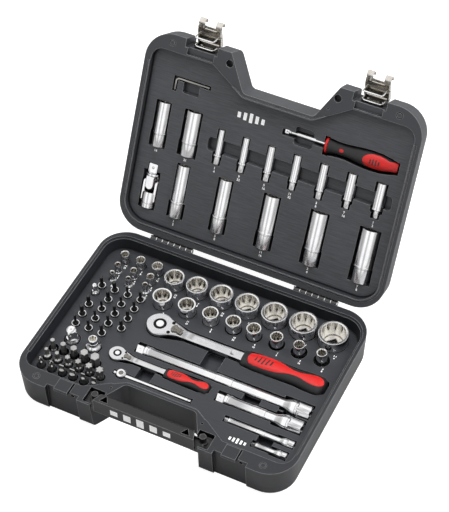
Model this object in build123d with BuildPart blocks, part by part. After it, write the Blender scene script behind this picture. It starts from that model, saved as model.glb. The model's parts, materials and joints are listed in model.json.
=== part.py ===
from build123d import *
import math
import os

os.makedirs("parts", exist_ok=True)

# Socket wrench set in a hinged case. Millimetres, +Z up, handle side towards -Y, hinges towards +Y.
# The base stands on z = 0. Lid pieces are drawn closed and then swung open about the hinge axis.

# ---- case ----
CASE_W = 400.0
CASE_D = 288.0
CORNER_R = 40.0
RIM_Z = 48.5
BASE_DRAFT = 2.5
LID_H = 35.0
LID_DRAFT = 2.5
PART_GAP = 0.5
LID_Z = RIM_Z + PART_GAP
FLOOR = 4.0
TRAY_TOP = 28.5
LID_TRAY = LID_Z + 8.5
LID_ROOF = LID_Z + 32.0

# ---- inner outline of the case: sides, rear, front, and the notch behind the handle ----
IN_X = 190.5
BASE_IN_X = 193.0
IN_REAR = 132.0
IN_FRONT = -120.5
NOTCH_OUT = 101.0
NOTCH_IN = 50.0
NOTCH_Y = -88.5

# ---- handle cut-out ----
CUT_OUT = 78.2
CUT_IN = 51.5
CUT_Y = -94.5

# ---- hinge ----
HINGE_Y = 147.6
HINGE_Z = RIM_Z - 1.0
OPEN_DEG = 117.2
HINGE_X = 109.5
HINGE_L = 62.0
KNUCKLE_R = 3.3
PIN_R = 1.5

# ---- latches ----
LATCH_X = 121.0
RECESS_W = 47.0
BASE_RECESS_Y = -137.5
LID_RECESS_Y = -132.0
LEVER_PY = -138.5
LEVER_PZ = RIM_Z + 27.0
LEVER_HALF = 17.0
LEVER_OPEN = 57.0
BAIL_PY = -140.3
BAIL_PZ = RIM_Z + 12.0
BAIL_R = 1.2
BAIL_HALF = 14.0
BAIL_BAR_Y = -139.6
BAIL_BAR_Z = RIM_Z - 5.7
BAIL_OPEN = 67.0

# ---- tools ----
SOCKET_TOP = RIM_Z - 3.0
SMALL_TOP = RIM_Z - 5.0
COLLAR_TOP = RIM_Z - 17.0
FIT = 0.6


def opened(shape):
    return shape.rotate(Axis((0, HINGE_Y, HINGE_Z), (1, 0, 0)), -OPEN_DEG)


def save(shape, name):
    shape.label = name
    export_step(shape, "parts/" + name + ".step")


def inner_outline(half_x, rear, front, notch_y, grow=0.0):
    # plan of the space inside the walls, as a closed wire with rounded corners
    x = half_x + grow
    b = rear + grow
    f = front - grow
    o = NOTCH_OUT + grow * 0.5
    i = NOTCH_IN + grow * 0.5
    n = notch_y - grow
    pts = [(-x, f), (-o, f), (-i, n), (i, n), (o, f), (x, f), (x, b), (-x, b)]
    with BuildSketch(mode=Mode.PRIVATE) as sk:
        with BuildLine():
            Polyline(*pts, close=True)
        make_face()
        v = sk.vertices()
        fillet([p for p in v if p.Y > 100], 30 + grow)
        v = sk.vertices()
        fillet([p for p in v if p.Y < -100 and abs(p.X) > 150], 17 + grow)
        v = sk.vertices()
        fillet([p for p in v if p.Y < -60 and abs(p.X) < 60], 12)
    return sk.sketch


def cutout_outline():
    with BuildSketch(mode=Mode.PRIVATE) as sk:
        with BuildLine():
            k = (CUT_OUT - CUT_IN) / (CUT_Y + CASE_D / 2)
            far = CUT_OUT + 12 * k
            y0 = -CASE_D / 2 - 12
            Polyline((-far, y0), (-CUT_IN, CUT_Y), (CUT_IN, CUT_Y), (far, y0), close=True)
        make_face()
        fillet([p for p in sk.vertices() if p.Y > CUT_Y - 1], 8)
    return sk.sketch


# ================= case base =================
with BuildPart() as base_shell:
    with BuildSketch(Plane.XY.offset(RIM_Z)):
        RectangleRounded(CASE_W, CASE_D, CORNER_R)
    extrude(amount=-RIM_Z, taper=math.degrees(math.atan(BASE_DRAFT / RIM_Z)))
    fillet(base_shell.faces().sort_by(Axis.Z)[0].edges(), 5)
    with BuildSketch(Plane.XY.offset(RIM_Z)):
        add(inner_outline(BASE_IN_X, IN_REAR + 0.7, IN_FRONT, NOTCH_Y))
    extrude(amount=TRAY_TOP - RIM_Z, taper=9.0, mode=Mode.SUBTRACT)
    with BuildSketch(Plane.XY.offset(FLOOR)):
        add(inner_outline(BASE_IN_X, IN_REAR + 0.7, IN_FRONT, NOTCH_Y, grow=-3.2))
    extrude(amount=TRAY_TOP - FLOOR + 0.1, mode=Mode.SUBTRACT)
    # step in the rim that receives the lid's lip
    with BuildSketch(Plane.XY.offset(RIM_Z)):
        add(inner_outline(BASE_IN_X, IN_REAR + 0.7, IN_FRONT, NOTCH_Y, grow=2.2))
        with Locations((0, -145)):
            Rectangle(CASE_W, 90, mode=Mode.SUBTRACT)
    extrude(amount=-2.6, mode=Mode.SUBTRACT)
    with BuildSketch(Plane.XY.offset(-1)):
        add(cutout_outline())
    extrude(amount=RIM_Z + 2, mode=Mode.SUBTRACT)
    # latch recesses in the front wall, over the full height
    with Locations((-LATCH_X, BASE_RECESS_Y - 10, RIM_Z / 2), (LATCH_X, BASE_RECESS_Y - 10, RIM_Z / 2)):
        Box(RECESS_W, 20, RIM_Z + 2, mode=Mode.SUBTRACT)
    # pockets in the lugs for the handle's ears
    with Locations((-79, -129, RIM_Z - 4.5), (79, -129, RIM_Z - 4.5)):
        Box(22, 24, 9.2, mode=Mode.SUBTRACT)
    # catch plates that the latch bails pull on
    for sx in (-LATCH_X, LATCH_X):
        with Locations((sx - 2, (-141.0 - 123.0) / 2, RIM_Z - 1)):
            Box(20, 18, 5)
        with Locations((sx + 9, -130, RIM_Z)):
            Box(1.8, 15.4, 7, mode=Mode.SUBTRACT)
        with Locations((sx + 14.5, BASE_RECESS_Y, RIM_Z - 5)):
            Box(4.5, 8, 4, mode=Mode.SUBTRACT)
    # stop buttons in ring grooves, and a small drain hole by each lug
    with Locations((-163.5, -132, RIM_Z), (163.5, -132, RIM_Z)):
        Cylinder(4.6, 2.4, mode=Mode.SUBTRACT)
    with Locations((-163.5, -132, RIM_Z - 0.55), (163.5, -132, RIM_Z - 0.55)):
        Cylinder(3.4, 1.4)
    with Locations((-66, -107.5, RIM_Z), (66, -107.5, RIM_Z)):
        Cylinder(1.4, 12, mode=Mode.SUBTRACT)
save(base_shell.part, "base_shell")

# ---- case lid, drawn closed ----
with BuildPart() as lid_shell:
    with BuildSketch(Plane.XY.offset(LID_Z)):
        RectangleRounded(CASE_W, CASE_D, CORNER_R)
    extrude(amount=LID_H, taper=math.degrees(math.atan(LID_DRAFT / LID_H)))
    fillet(lid_shell.faces().sort_by(Axis.Z)[-1].edges(), 8)
    with BuildSketch(Plane.XY.offset(LID_Z)):
        add(inner_outline(IN_X, IN_REAR, IN_FRONT, NOTCH_Y))
    extrude(amount=LID_ROOF - LID_Z, mode=Mode.SUBTRACT)
    with BuildSketch(Plane.XY.offset(LID_Z - 1)):
        add(cutout_outline())
    extrude(amount=LID_H + 2, mode=Mode.SUBTRACT)
    with Locations((-LATCH_X, LID_RECESS_Y - 10, LID_Z + 20), (LATCH_X, LID_RECESS_Y - 10, LID_Z + 20)):
        Box(RECESS_W, 20, 60, mode=Mode.SUBTRACT)
    # shelves that sit over the catch plates
    with Locations((-LATCH_X, -127.6, LID_Z), (LATCH_X, -127.6, LID_Z)):
        Box(39, 10, 8, mode=Mode.SUBTRACT)
    # holes that receive the handle pegs, and stop buttons in rings
    with Locations((-78, -128.4, LID_Z), (78, -128.4, LID_Z)):
        Cylinder(5.2, 18, mode=Mode.SUBTRACT)
    with Locations((-163.5, -132, LID_Z), (163.5, -132, LID_Z)):
        Cylinder(4.6, 2.4, mode=Mode.SUBTRACT)
    with Locations((-163.5, -132, LID_Z + 0.5), (163.5, -132, LID_Z + 0.5)):
        Cylinder(3.4, 1.4)
    with Locations((68, -111, LID_Z)):
        Cylinder(1.2, 12, mode=Mode.SUBTRACT)
    # fine groove round the rim, outside the lip
    with BuildSketch(Plane.XY.offset(LID_Z)):
        add(inner_outline(IN_X, IN_REAR, IN_FRONT, NOTCH_Y, grow=3.9))
        add(inner_outline(IN_X, IN_REAR, IN_FRONT, NOTCH_Y, grow=3.0), mode=Mode.SUBTRACT)
        with Locations((0, -145)):
            Rectangle(CASE_W, 90, mode=Mode.SUBTRACT)
    extrude(amount=1.0, mode=Mode.SUBTRACT)
    # raised lip inside the rim, on the sides and the rear
    with BuildSketch(Plane.XY.offset(LID_Z - 2)):
        add(inner_outline(IN_X, IN_REAR, IN_FRONT, NOTCH_Y, grow=1.6))
        add(inner_outline(IN_X, IN_REAR, IN_FRONT, NOTCH_Y), mode=Mode.SUBTRACT)
        with Locations((0, -145)):
            Rectangle(CASE_W, 90, mode=Mode.SUBTRACT)
    extrude(amount=2.5)
save(opened(lid_shell.part), "lid_shell")


# ================= trays =================
# tools standing in the base tray: (x, y, diameter, bottom z)
ROW_SLOPE = 0.0135
BACK_X = [-79.6, -45.3, -8.3, 30.2, 70.6, 112.9, 156.5]
BACK_OD = [28.6, 31.0, 33.0, 34.6, 36.8, 38.8, 41.6]
BACK_AF = [20.6, 22.2, 23.8, 25.4, 27.0, 28.6, 31.75]
BACK_H = [38.0, 38.5, 39.0, 39.5, 40.0, 40.0, 40.0]
BACK_Y = 98.5
FRONT_X = [-79.7, -42.4, -7.0, 27.1, 57.3, 90.8, 123.3, 156.0]
FRONT_OD = [26.8, 24.8, 22.8, 21.6, 19.8, 18.2, 16.6, 14.8]
FRONT_BASE = [26.8, 24.8, 23.4, 23.0, 22.2, 22.0, 21.8, 21.6]
FRONT_AF = [19.05, 17.5, 15.9, 15.1, 14.3, 12.7, 11.1, 9.5]
FRONT_Y = 61.8
QUARTER_X = [-162.0, -137.2, -111.0]
QUARTER_Y = [107.5, 86.6, 70.7]
QUARTER_OD = [[12.8, 14.6, 16.2], [10.8, 11.6, 12.2], [7.6, 8.2, 8.9]]
QUARTER_AF = [[8.7, 9.5, 11.1], [6.35, 7.1, 7.9], [4.0, 4.8, 5.6]]
QUARTER_H = 25.0
BIT_X0 = -169.2
BIT_DX = 20.1
BIT_Y0 = 52.8
BIT_DY = 18.4
COLLAR_D = 11.4
COLLAR_H = 20.0
BIG_BIT_X0 = -176.0
BIG_BIT_DX = 16.1
HEX_Y = -69.0
STAR_Y = -85.5
BLADE_Y = -101.3
HEX_AF = [5.5, 7.0, 9.0, 10.8, 12.6]
BIG_BIT_H = 30.0
HALF_ADAPTOR = (-160.5, -45.5)
BIT_HOLDER = (-128.0, -45.0)
QUARTER_ADAPTOR = (-172.0, 38.8)

# tools lying in the base tray: height of their axes and the lines they lie on
RATCHET_X = -64.0
RATCHET_Y = 24.5
RATCHET_TOP = 34.5
SMALL_X = -93.0
SMALL_Y = -42.5
SMALL_RTOP = 32.5
LEVER_TURN = -20.0
EXT_Z = 25.0
LONG_EXT = (-75.5, -19.5, 255.0)
SHORT_EXT = (56.5, -46.0, 123.0)
QUARTER_Z = 26.5
LONG_QUARTER = (81.5, -74.8, 99.0)
SHORT_QUARTER = (130.0, -95.0, 49.0)
T_BAR_Y = -69.5
T_BAR_Z = 27.0
T_BAR_X0 = -84.0
T_BAR_X1 = 30.0
T_HEAD_X = -73.0

# tools lying in the lid tray: (x, near y, length, diameter, drive-end diameter, opening)
DEEP_Y = 34.0
DEEP_L = 78.0
DEEP_X = [-117.5, -53.0, 16.6, 86.8, 159.8]
DEEP_OD = [18.2, 21.0, 23.6, 25.6, 28.6]
DEEP_BASE = [21.6, 22.0, 23.6, 24.6, 26.0]
DEEP_AF = [12.7, 15.9, 17.5, 19.05, 22.2]
SPARK_X = [-163.0, -117.8]
SPARK_Y = -45.0
SPARK_L = 65.0
SPARK_OD = [21.0, 25.4]
SPARK_AF = [16.0, 20.8]
DEEPQ_X = [-73.2, -36.4, 1.2, 39.4, 78.4, 118.6, 160.5]
DEEPQ_Y = -33.0
DEEPQ_L = 50.0
DEEPQ_OD = [9.4, 9.8, 10.2, 11.0, 12.2, 13.8, 15.6]
DEEPQ_AF = [6.35, 7.1, 7.9, 8.7, 9.5, 11.1, 12.7]
JOINT_X = -162.0
JOINT_Y = 46.0
JOINT_L = 66.0
JOINT_D = 23.0
SPINNER_X = 12.0
SPINNER_Y = -58.5
SPINNER_L = 164.0
SPINNER_D = 27.0
KEY_X = -154.0
KEY_Y = -84.0
KEY_D = 3.6


def row_y(base, x):
    return base + ROW_SLOPE * (x + 80)


def standing():
    # every round pocket of the base tray
    out = []
    for x, d, h in zip(BACK_X, BACK_OD, BACK_H):
        out.append((x, row_y(BACK_Y, x), d, SOCKET_TOP - h))
    for x, d in zip(FRONT_X, FRONT_BASE):
        out.append((x, row_y(FRONT_Y, x), d, SOCKET_TOP - 38.0))
    for j in range(3):
        for i in range(3):
            d = max(QUARTER_OD[j][i], 11.6)
            out.append((QUARTER_X[i], QUARTER_Y[j], d, SMALL_TOP - QUARTER_H))
    for x, y in collar_spots():
        out.append((x, y, COLLAR_D, COLLAR_TOP - COLLAR_H))
    for i in range(6):
        x = BIG_BIT_X0 + i * BIG_BIT_DX
        out.append((x, STAR_Y, 12.4, SOCKET_TOP - BIG_BIT_H))
        out.append((x, BLADE_Y, 12.4, SOCKET_TOP - BIG_BIT_H))
        if i < 5:
            out.append((x, HEX_Y, 14.6 if i > 3 else 13.0, SOCKET_TOP - BIG_BIT_H))
    out.append((*HALF_ADAPTOR, 22.0, RIM_Z + 1 - 36))
    out.append((*BIT_HOLDER, 21.6, RIM_Z - 2 - 34))
    out.append((*QUARTER_ADAPTOR, 12.2, RIM_Z - 3 - 26))
    return out


def collar_spots():
    out = []
    for j in range(5):
        for i in range(4):
            if (j, i) in ((1, 0), (4, 3)):
                continue
            out.append((BIT_X0 + i * BIT_DX, BIT_Y0 - j * BIT_DY))
    return out


def mirrored(x0, stations, y):
    # closed plan outline from stations (distance along X, half width) about the line Y = y
    upper = [(x0 + d, y + w) for d, w in stations]
    lower = [(x0 + d, y - w) for d, w in reversed(stations)]
    return upper + lower


def mirrored_y(x, stations):
    # the same about the line X = x, with stations (y, half width)
    return [(x + w, y) for y, w in stations] + [(x - w, y) for y, w in reversed(stations)]


def outline(points, r):
    with BuildSketch(mode=Mode.PRIVATE) as sk:
        with BuildLine():
            Polyline(*points, close=True)
        make_face()
        if r > 0:
            fillet(sk.vertices(), r)
    return sk.sketch


def ext_plan(x0, y, length, neck, shaft, end, end_len, m):
    a = length - end_len - 12
    step = 22 * neck / 8.2
    pts = [(-1.2, neck + m), (step, neck + m), (step + 0.4, shaft + m), (a, shaft + m), (a + 0.4, end + m),
           (length + 1.0, end + m)]
    return mirrored(x0, pts, y)


# ratchet grips: (distance from the front of the grip, half width)
LARGE_GRIP = [(0, 12.6), (16, 14.4), (50, 14.2), (76, 13.6), (96, 15.4), (111, 15.4), (121, 9.0)]
SMALL_GRIP = [(0, 8.0), (26, 9.4), (52, 9.8), (66, 5.6)]


def grown(plan, m):
    last = len(plan) - 1
    return [(d + (m if i == last else -m if i == 0 else 0), w + m) for i, (d, w) in enumerate(plan)]



with BuildPart() as base_tray:
    with BuildSketch(Plane.XY.offset(FLOOR)):
        add(inner_outline(BASE_IN_X, IN_REAR + 0.7, IN_FRONT, NOTCH_Y, grow=-3.6))
    extrude(amount=TRAY_TOP - FLOOR)
    for x, y, d, zb in standing():
        with Locations((x, y, (zb + TRAY_TOP + 2) / 2)):
            Cylinder(d / 2 + FIT, TRAY_TOP + 2 - zb, mode=Mode.SUBTRACT)
    # large ratchet: head and shank, a deeper bay for the grip, and a round well for its drive
    with BuildSketch(Plane.XY.offset(RATCHET_TOP - 15.6)):
        with Locations((RATCHET_X, RATCHET_Y)):
            Circle(19.5)
        add(outline(mirrored(RATCHET_X, [(-2, 18.0), (9, 18.0), (40, 10.4), (125, 10.4)], RATCHET_Y), 3))
    extrude(amount=20, mode=Mode.SUBTRACT)
    with BuildSketch(Plane.XY.offset(10.5)):
        add(outline(mirrored(60, grown(LARGE_GRIP, 0.9), RATCHET_Y), 4))
    extrude(amount=30, mode=Mode.SUBTRACT)
    with Locations((RATCHET_X, RATCHET_Y, 16)):
        Cylinder(10.5, 21, mode=Mode.SUBTRACT)
    # small ratchet
    with BuildSketch(Plane.XY.offset(SMALL_RTOP - 11.6)):
        with Locations((SMALL_X, SMALL_Y)):
            Circle(12.2)
        add(outline(mirrored(SMALL_X, [(-1, 11.2), (5, 11.2), (25, 6.6), (74, 6.6)], SMALL_Y), 2))
    extrude(amount=20, mode=Mode.SUBTRACT)
    with BuildSketch(Plane.XY.offset(14)):
        add(outline(mirrored(-22, grown(SMALL_GRIP, 0.9), SMALL_Y), 3))
    extrude(amount=20, mode=Mode.SUBTRACT)
    with Locations((SMALL_X, SMALL_Y, 20)):
        Cylinder(6.5, 16, mode=Mode.SUBTRACT)
    # extensions: slots that follow the neck, the shaft and the socket end
    for (x0, y, length), z, neck, shaft, end, end_len in (
        (LONG_EXT, EXT_Z, 8.2, 7.5, 11.4, 30),
        (SHORT_EXT, EXT_Z, 8.2, 7.5, 11.4, 30),
        (LONG_QUARTER, QUARTER_Z, 4.6, 4.3, 6.1, 14),
        (SHORT_QUARTER, QUARTER_Z, 4.6, 4.3, 6.1, 12),
    ):
        with BuildSketch(Plane.XY.offset(z - end - 0.5)):
            add(outline(ext_plan(x0, y, length, neck, shaft, end, end_len, 1.0), 0.1))
        extrude(amount=30, mode=Mode.SUBTRACT)
    with Locations(((T_BAR_X0 + T_BAR_X1) / 2, T_BAR_Y, T_BAR_Z - 3.6 + 10)):
        Box(T_BAR_X1 - T_BAR_X0 + 3, 7.8, 20, mode=Mode.SUBTRACT)
    with Locations((T_HEAD_X, T_BAR_Y, 18)):
        Cylinder(8.0, 24, mode=Mode.SUBTRACT)
    # finger wells between neighbouring tools
    for x, y, w, dy in ((26, 3, 26, 32), (100, -33, 25, 26), (154, -33, 18, 20), (-44, -58, 22, 26),
                        (144, -85, 22, 20)):
        with BuildSketch(Plane.XY.offset(15)):
            with Locations((x, y)):
                RectangleRounded(w, dy, 3)
        extrude(amount=20, mode=Mode.SUBTRACT)
save(base_tray.part, "base_tray")

# spinner grip: (distance from the front of the grip, radius)
SPIN_PROFILE = [(4, 11.6), (10, 11.0), (18, 10.0), (32, 10.2), (50, 12.2), (66, 13.2), (80, 12.6), (92, 10.4),
                (100, 8.6), (104, 7.8)]

with BuildPart() as lid_tray:
    with BuildSketch(Plane.XY.offset(LID_TRAY)):
        add(inner_outline(IN_X, IN_REAR, IN_FRONT, NOTCH_Y, grow=-1.3))
    extrude(amount=LID_ROOF - LID_TRAY - 0.2)
    bays = []
    for x, d, b in zip(DEEP_X, DEEP_OD, DEEP_BASE):
        w = max(d, b)
        st = [(DEEP_Y - 1.6, d / 2 + 1.0), (DEEP_Y + 0.70 * DEEP_L, d / 2 + 1.0), (DEEP_Y + 0.70 * DEEP_L, w / 2 + 1.8),
              (DEEP_Y + DEEP_L + 1.0, w / 2 + 1.8)]
        bays.append((mirrored_y(x, st), w + 1.0 - 6.5, 0.35))
    for x, d in zip(SPARK_X, SPARK_OD):
        st = [(SPARK_Y - 1.6, d / 2 + 1.0), (SPARK_Y + 0.66 * SPARK_L, d / 2 + 1.0),
              (SPARK_Y + 0.66 * SPARK_L, d / 2 + 2.0), (SPARK_Y + SPARK_L + 1.0, d / 2 + 2.0)]
        bays.append((mirrored_y(x, st), d + 1.0 - 5.0, 0.45))
    for x, d in zip(DEEPQ_X, DEEPQ_OD):
        w = max(d, 11.8)
        end = DEEPQ_Y + DEEPQ_L
        st = [(DEEPQ_Y - 1.2, d / 2 + 0.9), (end - 17, d / 2 + 0.9), (end - 16, w / 2 + 1.2), (end - 8, w / 2 + 1.2),
              (end - 7, 6.2), (end + 1.0, 6.2)]
        bays.append((mirrored_y(x, st), w - 2.0, 0.1))
    far = JOINT_Y + JOINT_L
    bays.append((mirrored_y(JOINT_X, [(JOINT_Y - 1.5, 7.6), (JOINT_Y + 10, 7.6), (JOINT_Y + 10, 12.8),
                                      (far + 1.5, 12.8)]), JOINT_D - 2, 1.0))
    bays.append((mirrored(SPINNER_X, [(-1.5, 4.6), (62, 4.6), (62, 13.8), (66, 13.8)], SPINNER_Y), 13, 0.8))
    bays.append((mirrored(SPINNER_X + 60, [(-1.5, 13.8)] + [(d, r + 1.3) for d, r in SPIN_PROFILE]
                          + [(105.5, 9.0)], SPINNER_Y), SPINNER_D - 3, 0.5))
    bays.append(([(28.5, -46), (55.5, -46), (55.5, -72), (28.5, -72)], 10, 4))
    bays.append(([(KEY_X - 1.6, KEY_Y - 3), (KEY_X + 54, KEY_Y - 3), (KEY_X + 54, KEY_Y + 3), (KEY_X + 5, KEY_Y + 3),
                  (KEY_X + 5, KEY_Y + 19), (KEY_X - 1.6, KEY_Y + 19)], 4.5, 1.5))
    bays.append(([(-140, -84), (-116, -84), (-116, -66), (-140, -66)], 8, 3))
    bays.append(([(-90, -19), (179, -19), (179, 1), (-90, 1)], 9, 5))
    for points, depth, r in bays:
        with BuildSketch(Plane.XY.offset(LID_TRAY - 1)):
            add(outline(points, r))
        extrude(amount=depth + 1, mode=Mode.SUBTRACT)
save(opened(lid_tray.part), "lid_tray")


# ================= handle =================
HANDLE_Z0 = RIM_Z - 9.7
HANDLE_Z1 = RIM_Z + 13.8
with BuildPart() as handle:
    with BuildSketch(Plane.XY.offset(HANDLE_Z0)):
        with BuildLine():
            Polyline((-72.5, -143.6), (72.5, -143.6), (65.5, -127.6), (-65.5, -127.6), close=True)
        make_face()
    extrude(amount=HANDLE_Z1 - HANDLE_Z0)
    fillet(handle.edges().filter_by(Axis.X).group_by(Axis.Y)[-1], 5)
    for s in (-1, 1):
        # triangular lightening holes, ears under the lid and the upright pegs
        with BuildSketch(Plane.XY.offset(HANDLE_Z0 + 3)):
            with BuildLine():
                Polyline((s * 64.5, -140.2), (s * 52.5, -140.2), (s * 58.5, -130.6), close=True)
            make_face()
        extrude(amount=40, mode=Mode.SUBTRACT)
        with Locations((s * 78.8, -129, HANDLE_Z0 + 2.3)):
            Box(21, 18, 3.4)
        with Locations((s * 71.5, -132, HANDLE_Z0 + 2.3)):
            Box(17, 14, 3.4)
        with Locations((s * 78, -128.4, (HANDLE_Z0 + 1 + RIM_Z + 5.7) / 2)):
            Cylinder(4.4, RIM_Z + 5.7 - HANDLE_Z0 - 1)
save(handle.part, "handle")


# ================= hinges =================
KNUCKLES = 7
SEG = HINGE_L / KNUCKLES


def knuckle_spots(x0, first):
    return [x0 - HINGE_L / 2 + SEG * (i + 0.5) for i in range(first, KNUCKLES, 2)]


with BuildPart() as hinge_base_leaves:
    for x0 in (-HINGE_X, HINGE_X):
        with Locations((x0, 144.9, 33)):
            Box(HINGE_L, 1.8, 20)
        with BuildSketch(Plane.YZ.offset(x0 - HINGE_L / 2)):
            with BuildLine():
                Polyline((144.0, 42.0), (145.8, 42.0), (HINGE_Y + 2.2, HINGE_Z - 2.4), (HINGE_Y, HINGE_Z),
                         (144.35, HINGE_Z), (144.35, 43.5), close=True)
            make_face()
            with Locations((HINGE_Y, HINGE_Z)):
                Circle(KNUCKLE_R)
        extrude(amount=HINGE_L)
        with BuildSketch(Plane.YZ.offset(x0 - HINGE_L / 2)):
            with Locations((HINGE_Y, HINGE_Z)):
                Circle(PIN_R + 0.05)
        extrude(amount=HINGE_L, mode=Mode.SUBTRACT)
        for x in knuckle_spots(x0, 1):
            with Locations((x, HINGE_Y + 1.2, HINGE_Z + 2.9)):
                Box(SEG + 0.5, 9.6, 14.6, mode=Mode.SUBTRACT)
save(hinge_base_leaves.part, "hinge_base_leaves")

with BuildPart() as hinge_lid_leaves:
    for x0 in (-HINGE_X, HINGE_X):
        with Locations((x0, 144.9, 61)):
            Box(HINGE_L, 1.8, 20)
        for x in knuckle_spots(x0, 1):
            with BuildSketch(Plane.YZ.offset(x - SEG / 2 + 0.3)):
                with BuildLine():
                    Polyline((144.3, HINGE_Z), (HINGE_Y, HINGE_Z), (HINGE_Y + 2.4, HINGE_Z + 2.2), (145.8, 53.5),
                             (144.0, 53.5), (144.0, 50.0), close=True)
                make_face()
                with Locations((HINGE_Y, HINGE_Z)):
                    Circle(KNUCKLE_R)
                with Locations((HINGE_Y, HINGE_Z)):
                    Circle(PIN_R + 0.05, mode=Mode.SUBTRACT)
            extrude(amount=SEG - 0.6)
save(opened(hinge_lid_leaves.part), "hinge_lid_leaves")

with BuildPart() as hinge_pins:
    for x0 in (-HINGE_X, HINGE_X):
        with Locations(Location((x0, HINGE_Y, HINGE_Z), (0, 90, 0))):
            Cylinder(PIN_R, HINGE_L + 2)
save(hinge_pins.part, "hinge_pins")


# ================= latches =================
def lever_open(shape):
    return shape.rotate(Axis((0, LEVER_PY, LEVER_PZ), (1, 0, 0)), -LEVER_OPEN)


def bail_open(shape):
    return shape.rotate(Axis((0, BAIL_PY, BAIL_PZ), (1, 0, 0)), BAIL_OPEN)


for side, lx in (("left", -LATCH_X), ("right", LATCH_X)):
    with BuildPart() as bracket:
        with Locations((lx, LID_RECESS_Y - 0.6, LID_Z + 19)):
            Box(31, 1.2, 26)
        for s in (-1, 1):
            with BuildSketch(Plane.YZ.offset(lx + s * 14.9 - 0.6)):
                with BuildLine():
                    Polyline((LID_RECESS_Y - 0.2, LEVER_PZ - 9), (LEVER_PY, LEVER_PZ - 2.8),
                             (LEVER_PY, LEVER_PZ + 2.8), (LID_RECESS_Y - 0.2, LEVER_PZ + 5), close=True)
                make_face()
                with Locations((LEVER_PY, LEVER_PZ)):
                    Circle(2.8)
                with Locations((LEVER_PY, LEVER_PZ)):
                    Circle(1.55, mode=Mode.SUBTRACT)
            extrude(amount=1.2)
        # lower lip and the pressed tongue in the middle
        with Locations((lx, LID_RECESS_Y - 2.2, LID_Z + 6.6)):
            Box(31, 4.4, 1.2)
        with Locations((lx, LID_RECESS_Y - 2.0, LID_Z + 15)):
            Box(12, 2.4, 7)
        with Locations(Location((lx - 9, LID_RECESS_Y - 1.2, LID_Z + 26), (90, 0, 0)),
                       Location((lx + 9, LID_RECESS_Y - 1.2, LID_Z + 26), (90, 0, 0))):
            Cylinder(2.4, 1.6)
    save(opened(bracket.part), side + "_latch_bracket")

    with BuildPart() as lever:
        web_y = LEVER_PY - 6.6
        with Locations((lx, web_y + 0.6, LEVER_PZ - 19)):
            Box(2 * LEVER_HALF, 1.2, 44)
        for s in (-1, 1):
            with BuildSketch(Plane.YZ.offset(lx + s * (LEVER_HALF - 0.5) - 0.5)):
                with BuildLine():
                    Polyline((web_y, LEVER_PZ - 41), (web_y + 2.4, LEVER_PZ - 41), (web_y + 6.2, LEVER_PZ - 30),
                             (web_y + 6.2, LEVER_PZ - 14), (LEVER_PY, LEVER_PZ), (web_y, LEVER_PZ + 3), close=True)
                make_face()
                with Locations((LEVER_PY, LEVER_PZ)):
                    Circle(3.0)
                with Locations((LEVER_PY, LEVER_PZ)):
                    Circle(1.55, mode=Mode.SUBTRACT)
                with Locations((BAIL_PY, BAIL_PZ)):
                    Circle(1.25, mode=Mode.SUBTRACT)
            extrude(amount=1.0)
            # curled finger ears at the free end
            with BuildSketch(Plane.YZ.offset(lx + s * 13.8 - 3)):
                with Locations((web_y - 2.6, LEVER_PZ - 43.4)):
                    Circle(3.8)
                    Circle(2.7, mode=Mode.SUBTRACT)
                with Locations((web_y + 1.6, LEVER_PZ - 45.6)):
                    Rectangle(4.0, 5.4, mode=Mode.SUBTRACT)
            extrude(amount=6)
        # long opening in the web's middle, which leaves a frame round it
        with Locations((lx, web_y + 0.6, LEVER_PZ - 44)):
            Box(21, 3, 9, mode=Mode.SUBTRACT)
    save(opened(lever_open(lever.part)), side + "_latch_lever")

    with BuildPart() as bail:
        with BuildLine() as wire:
            pz = BAIL_PZ
            py = BAIL_PY
            Polyline((lx - LEVER_HALF - 0.6, py, pz), (lx - BAIL_HALF, py, pz),
                     (lx - BAIL_HALF, BAIL_BAR_Y, BAIL_BAR_Z), (lx + BAIL_HALF, BAIL_BAR_Y, BAIL_BAR_Z),
                     (lx + BAIL_HALF, py, pz), (lx + LEVER_HALF + 0.6, py, pz))
            fillet(wire.vertices().group_by(Axis.Z)[0], 4.0)
        with BuildSketch(Plane(origin=(lx - LEVER_HALF - 0.6, py, pz), z_dir=(1, 0, 0))):
            Circle(BAIL_R)
        sweep(transition=Transition.ROUND)
    save(opened(lever_open(bail_open(bail.part))), side + "_latch_bail")

with BuildPart() as latch_pins:
    with Locations(Location((-LATCH_X, LEVER_PY, LEVER_PZ), (0, 90, 0)),
                   Location((LATCH_X, LEVER_PY, LEVER_PZ), (0, 90, 0))):
        Cylinder(1.5, 2 * LEVER_HALF + 1.6)
save(opened(latch_pins.part), "latch_pins")


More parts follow.
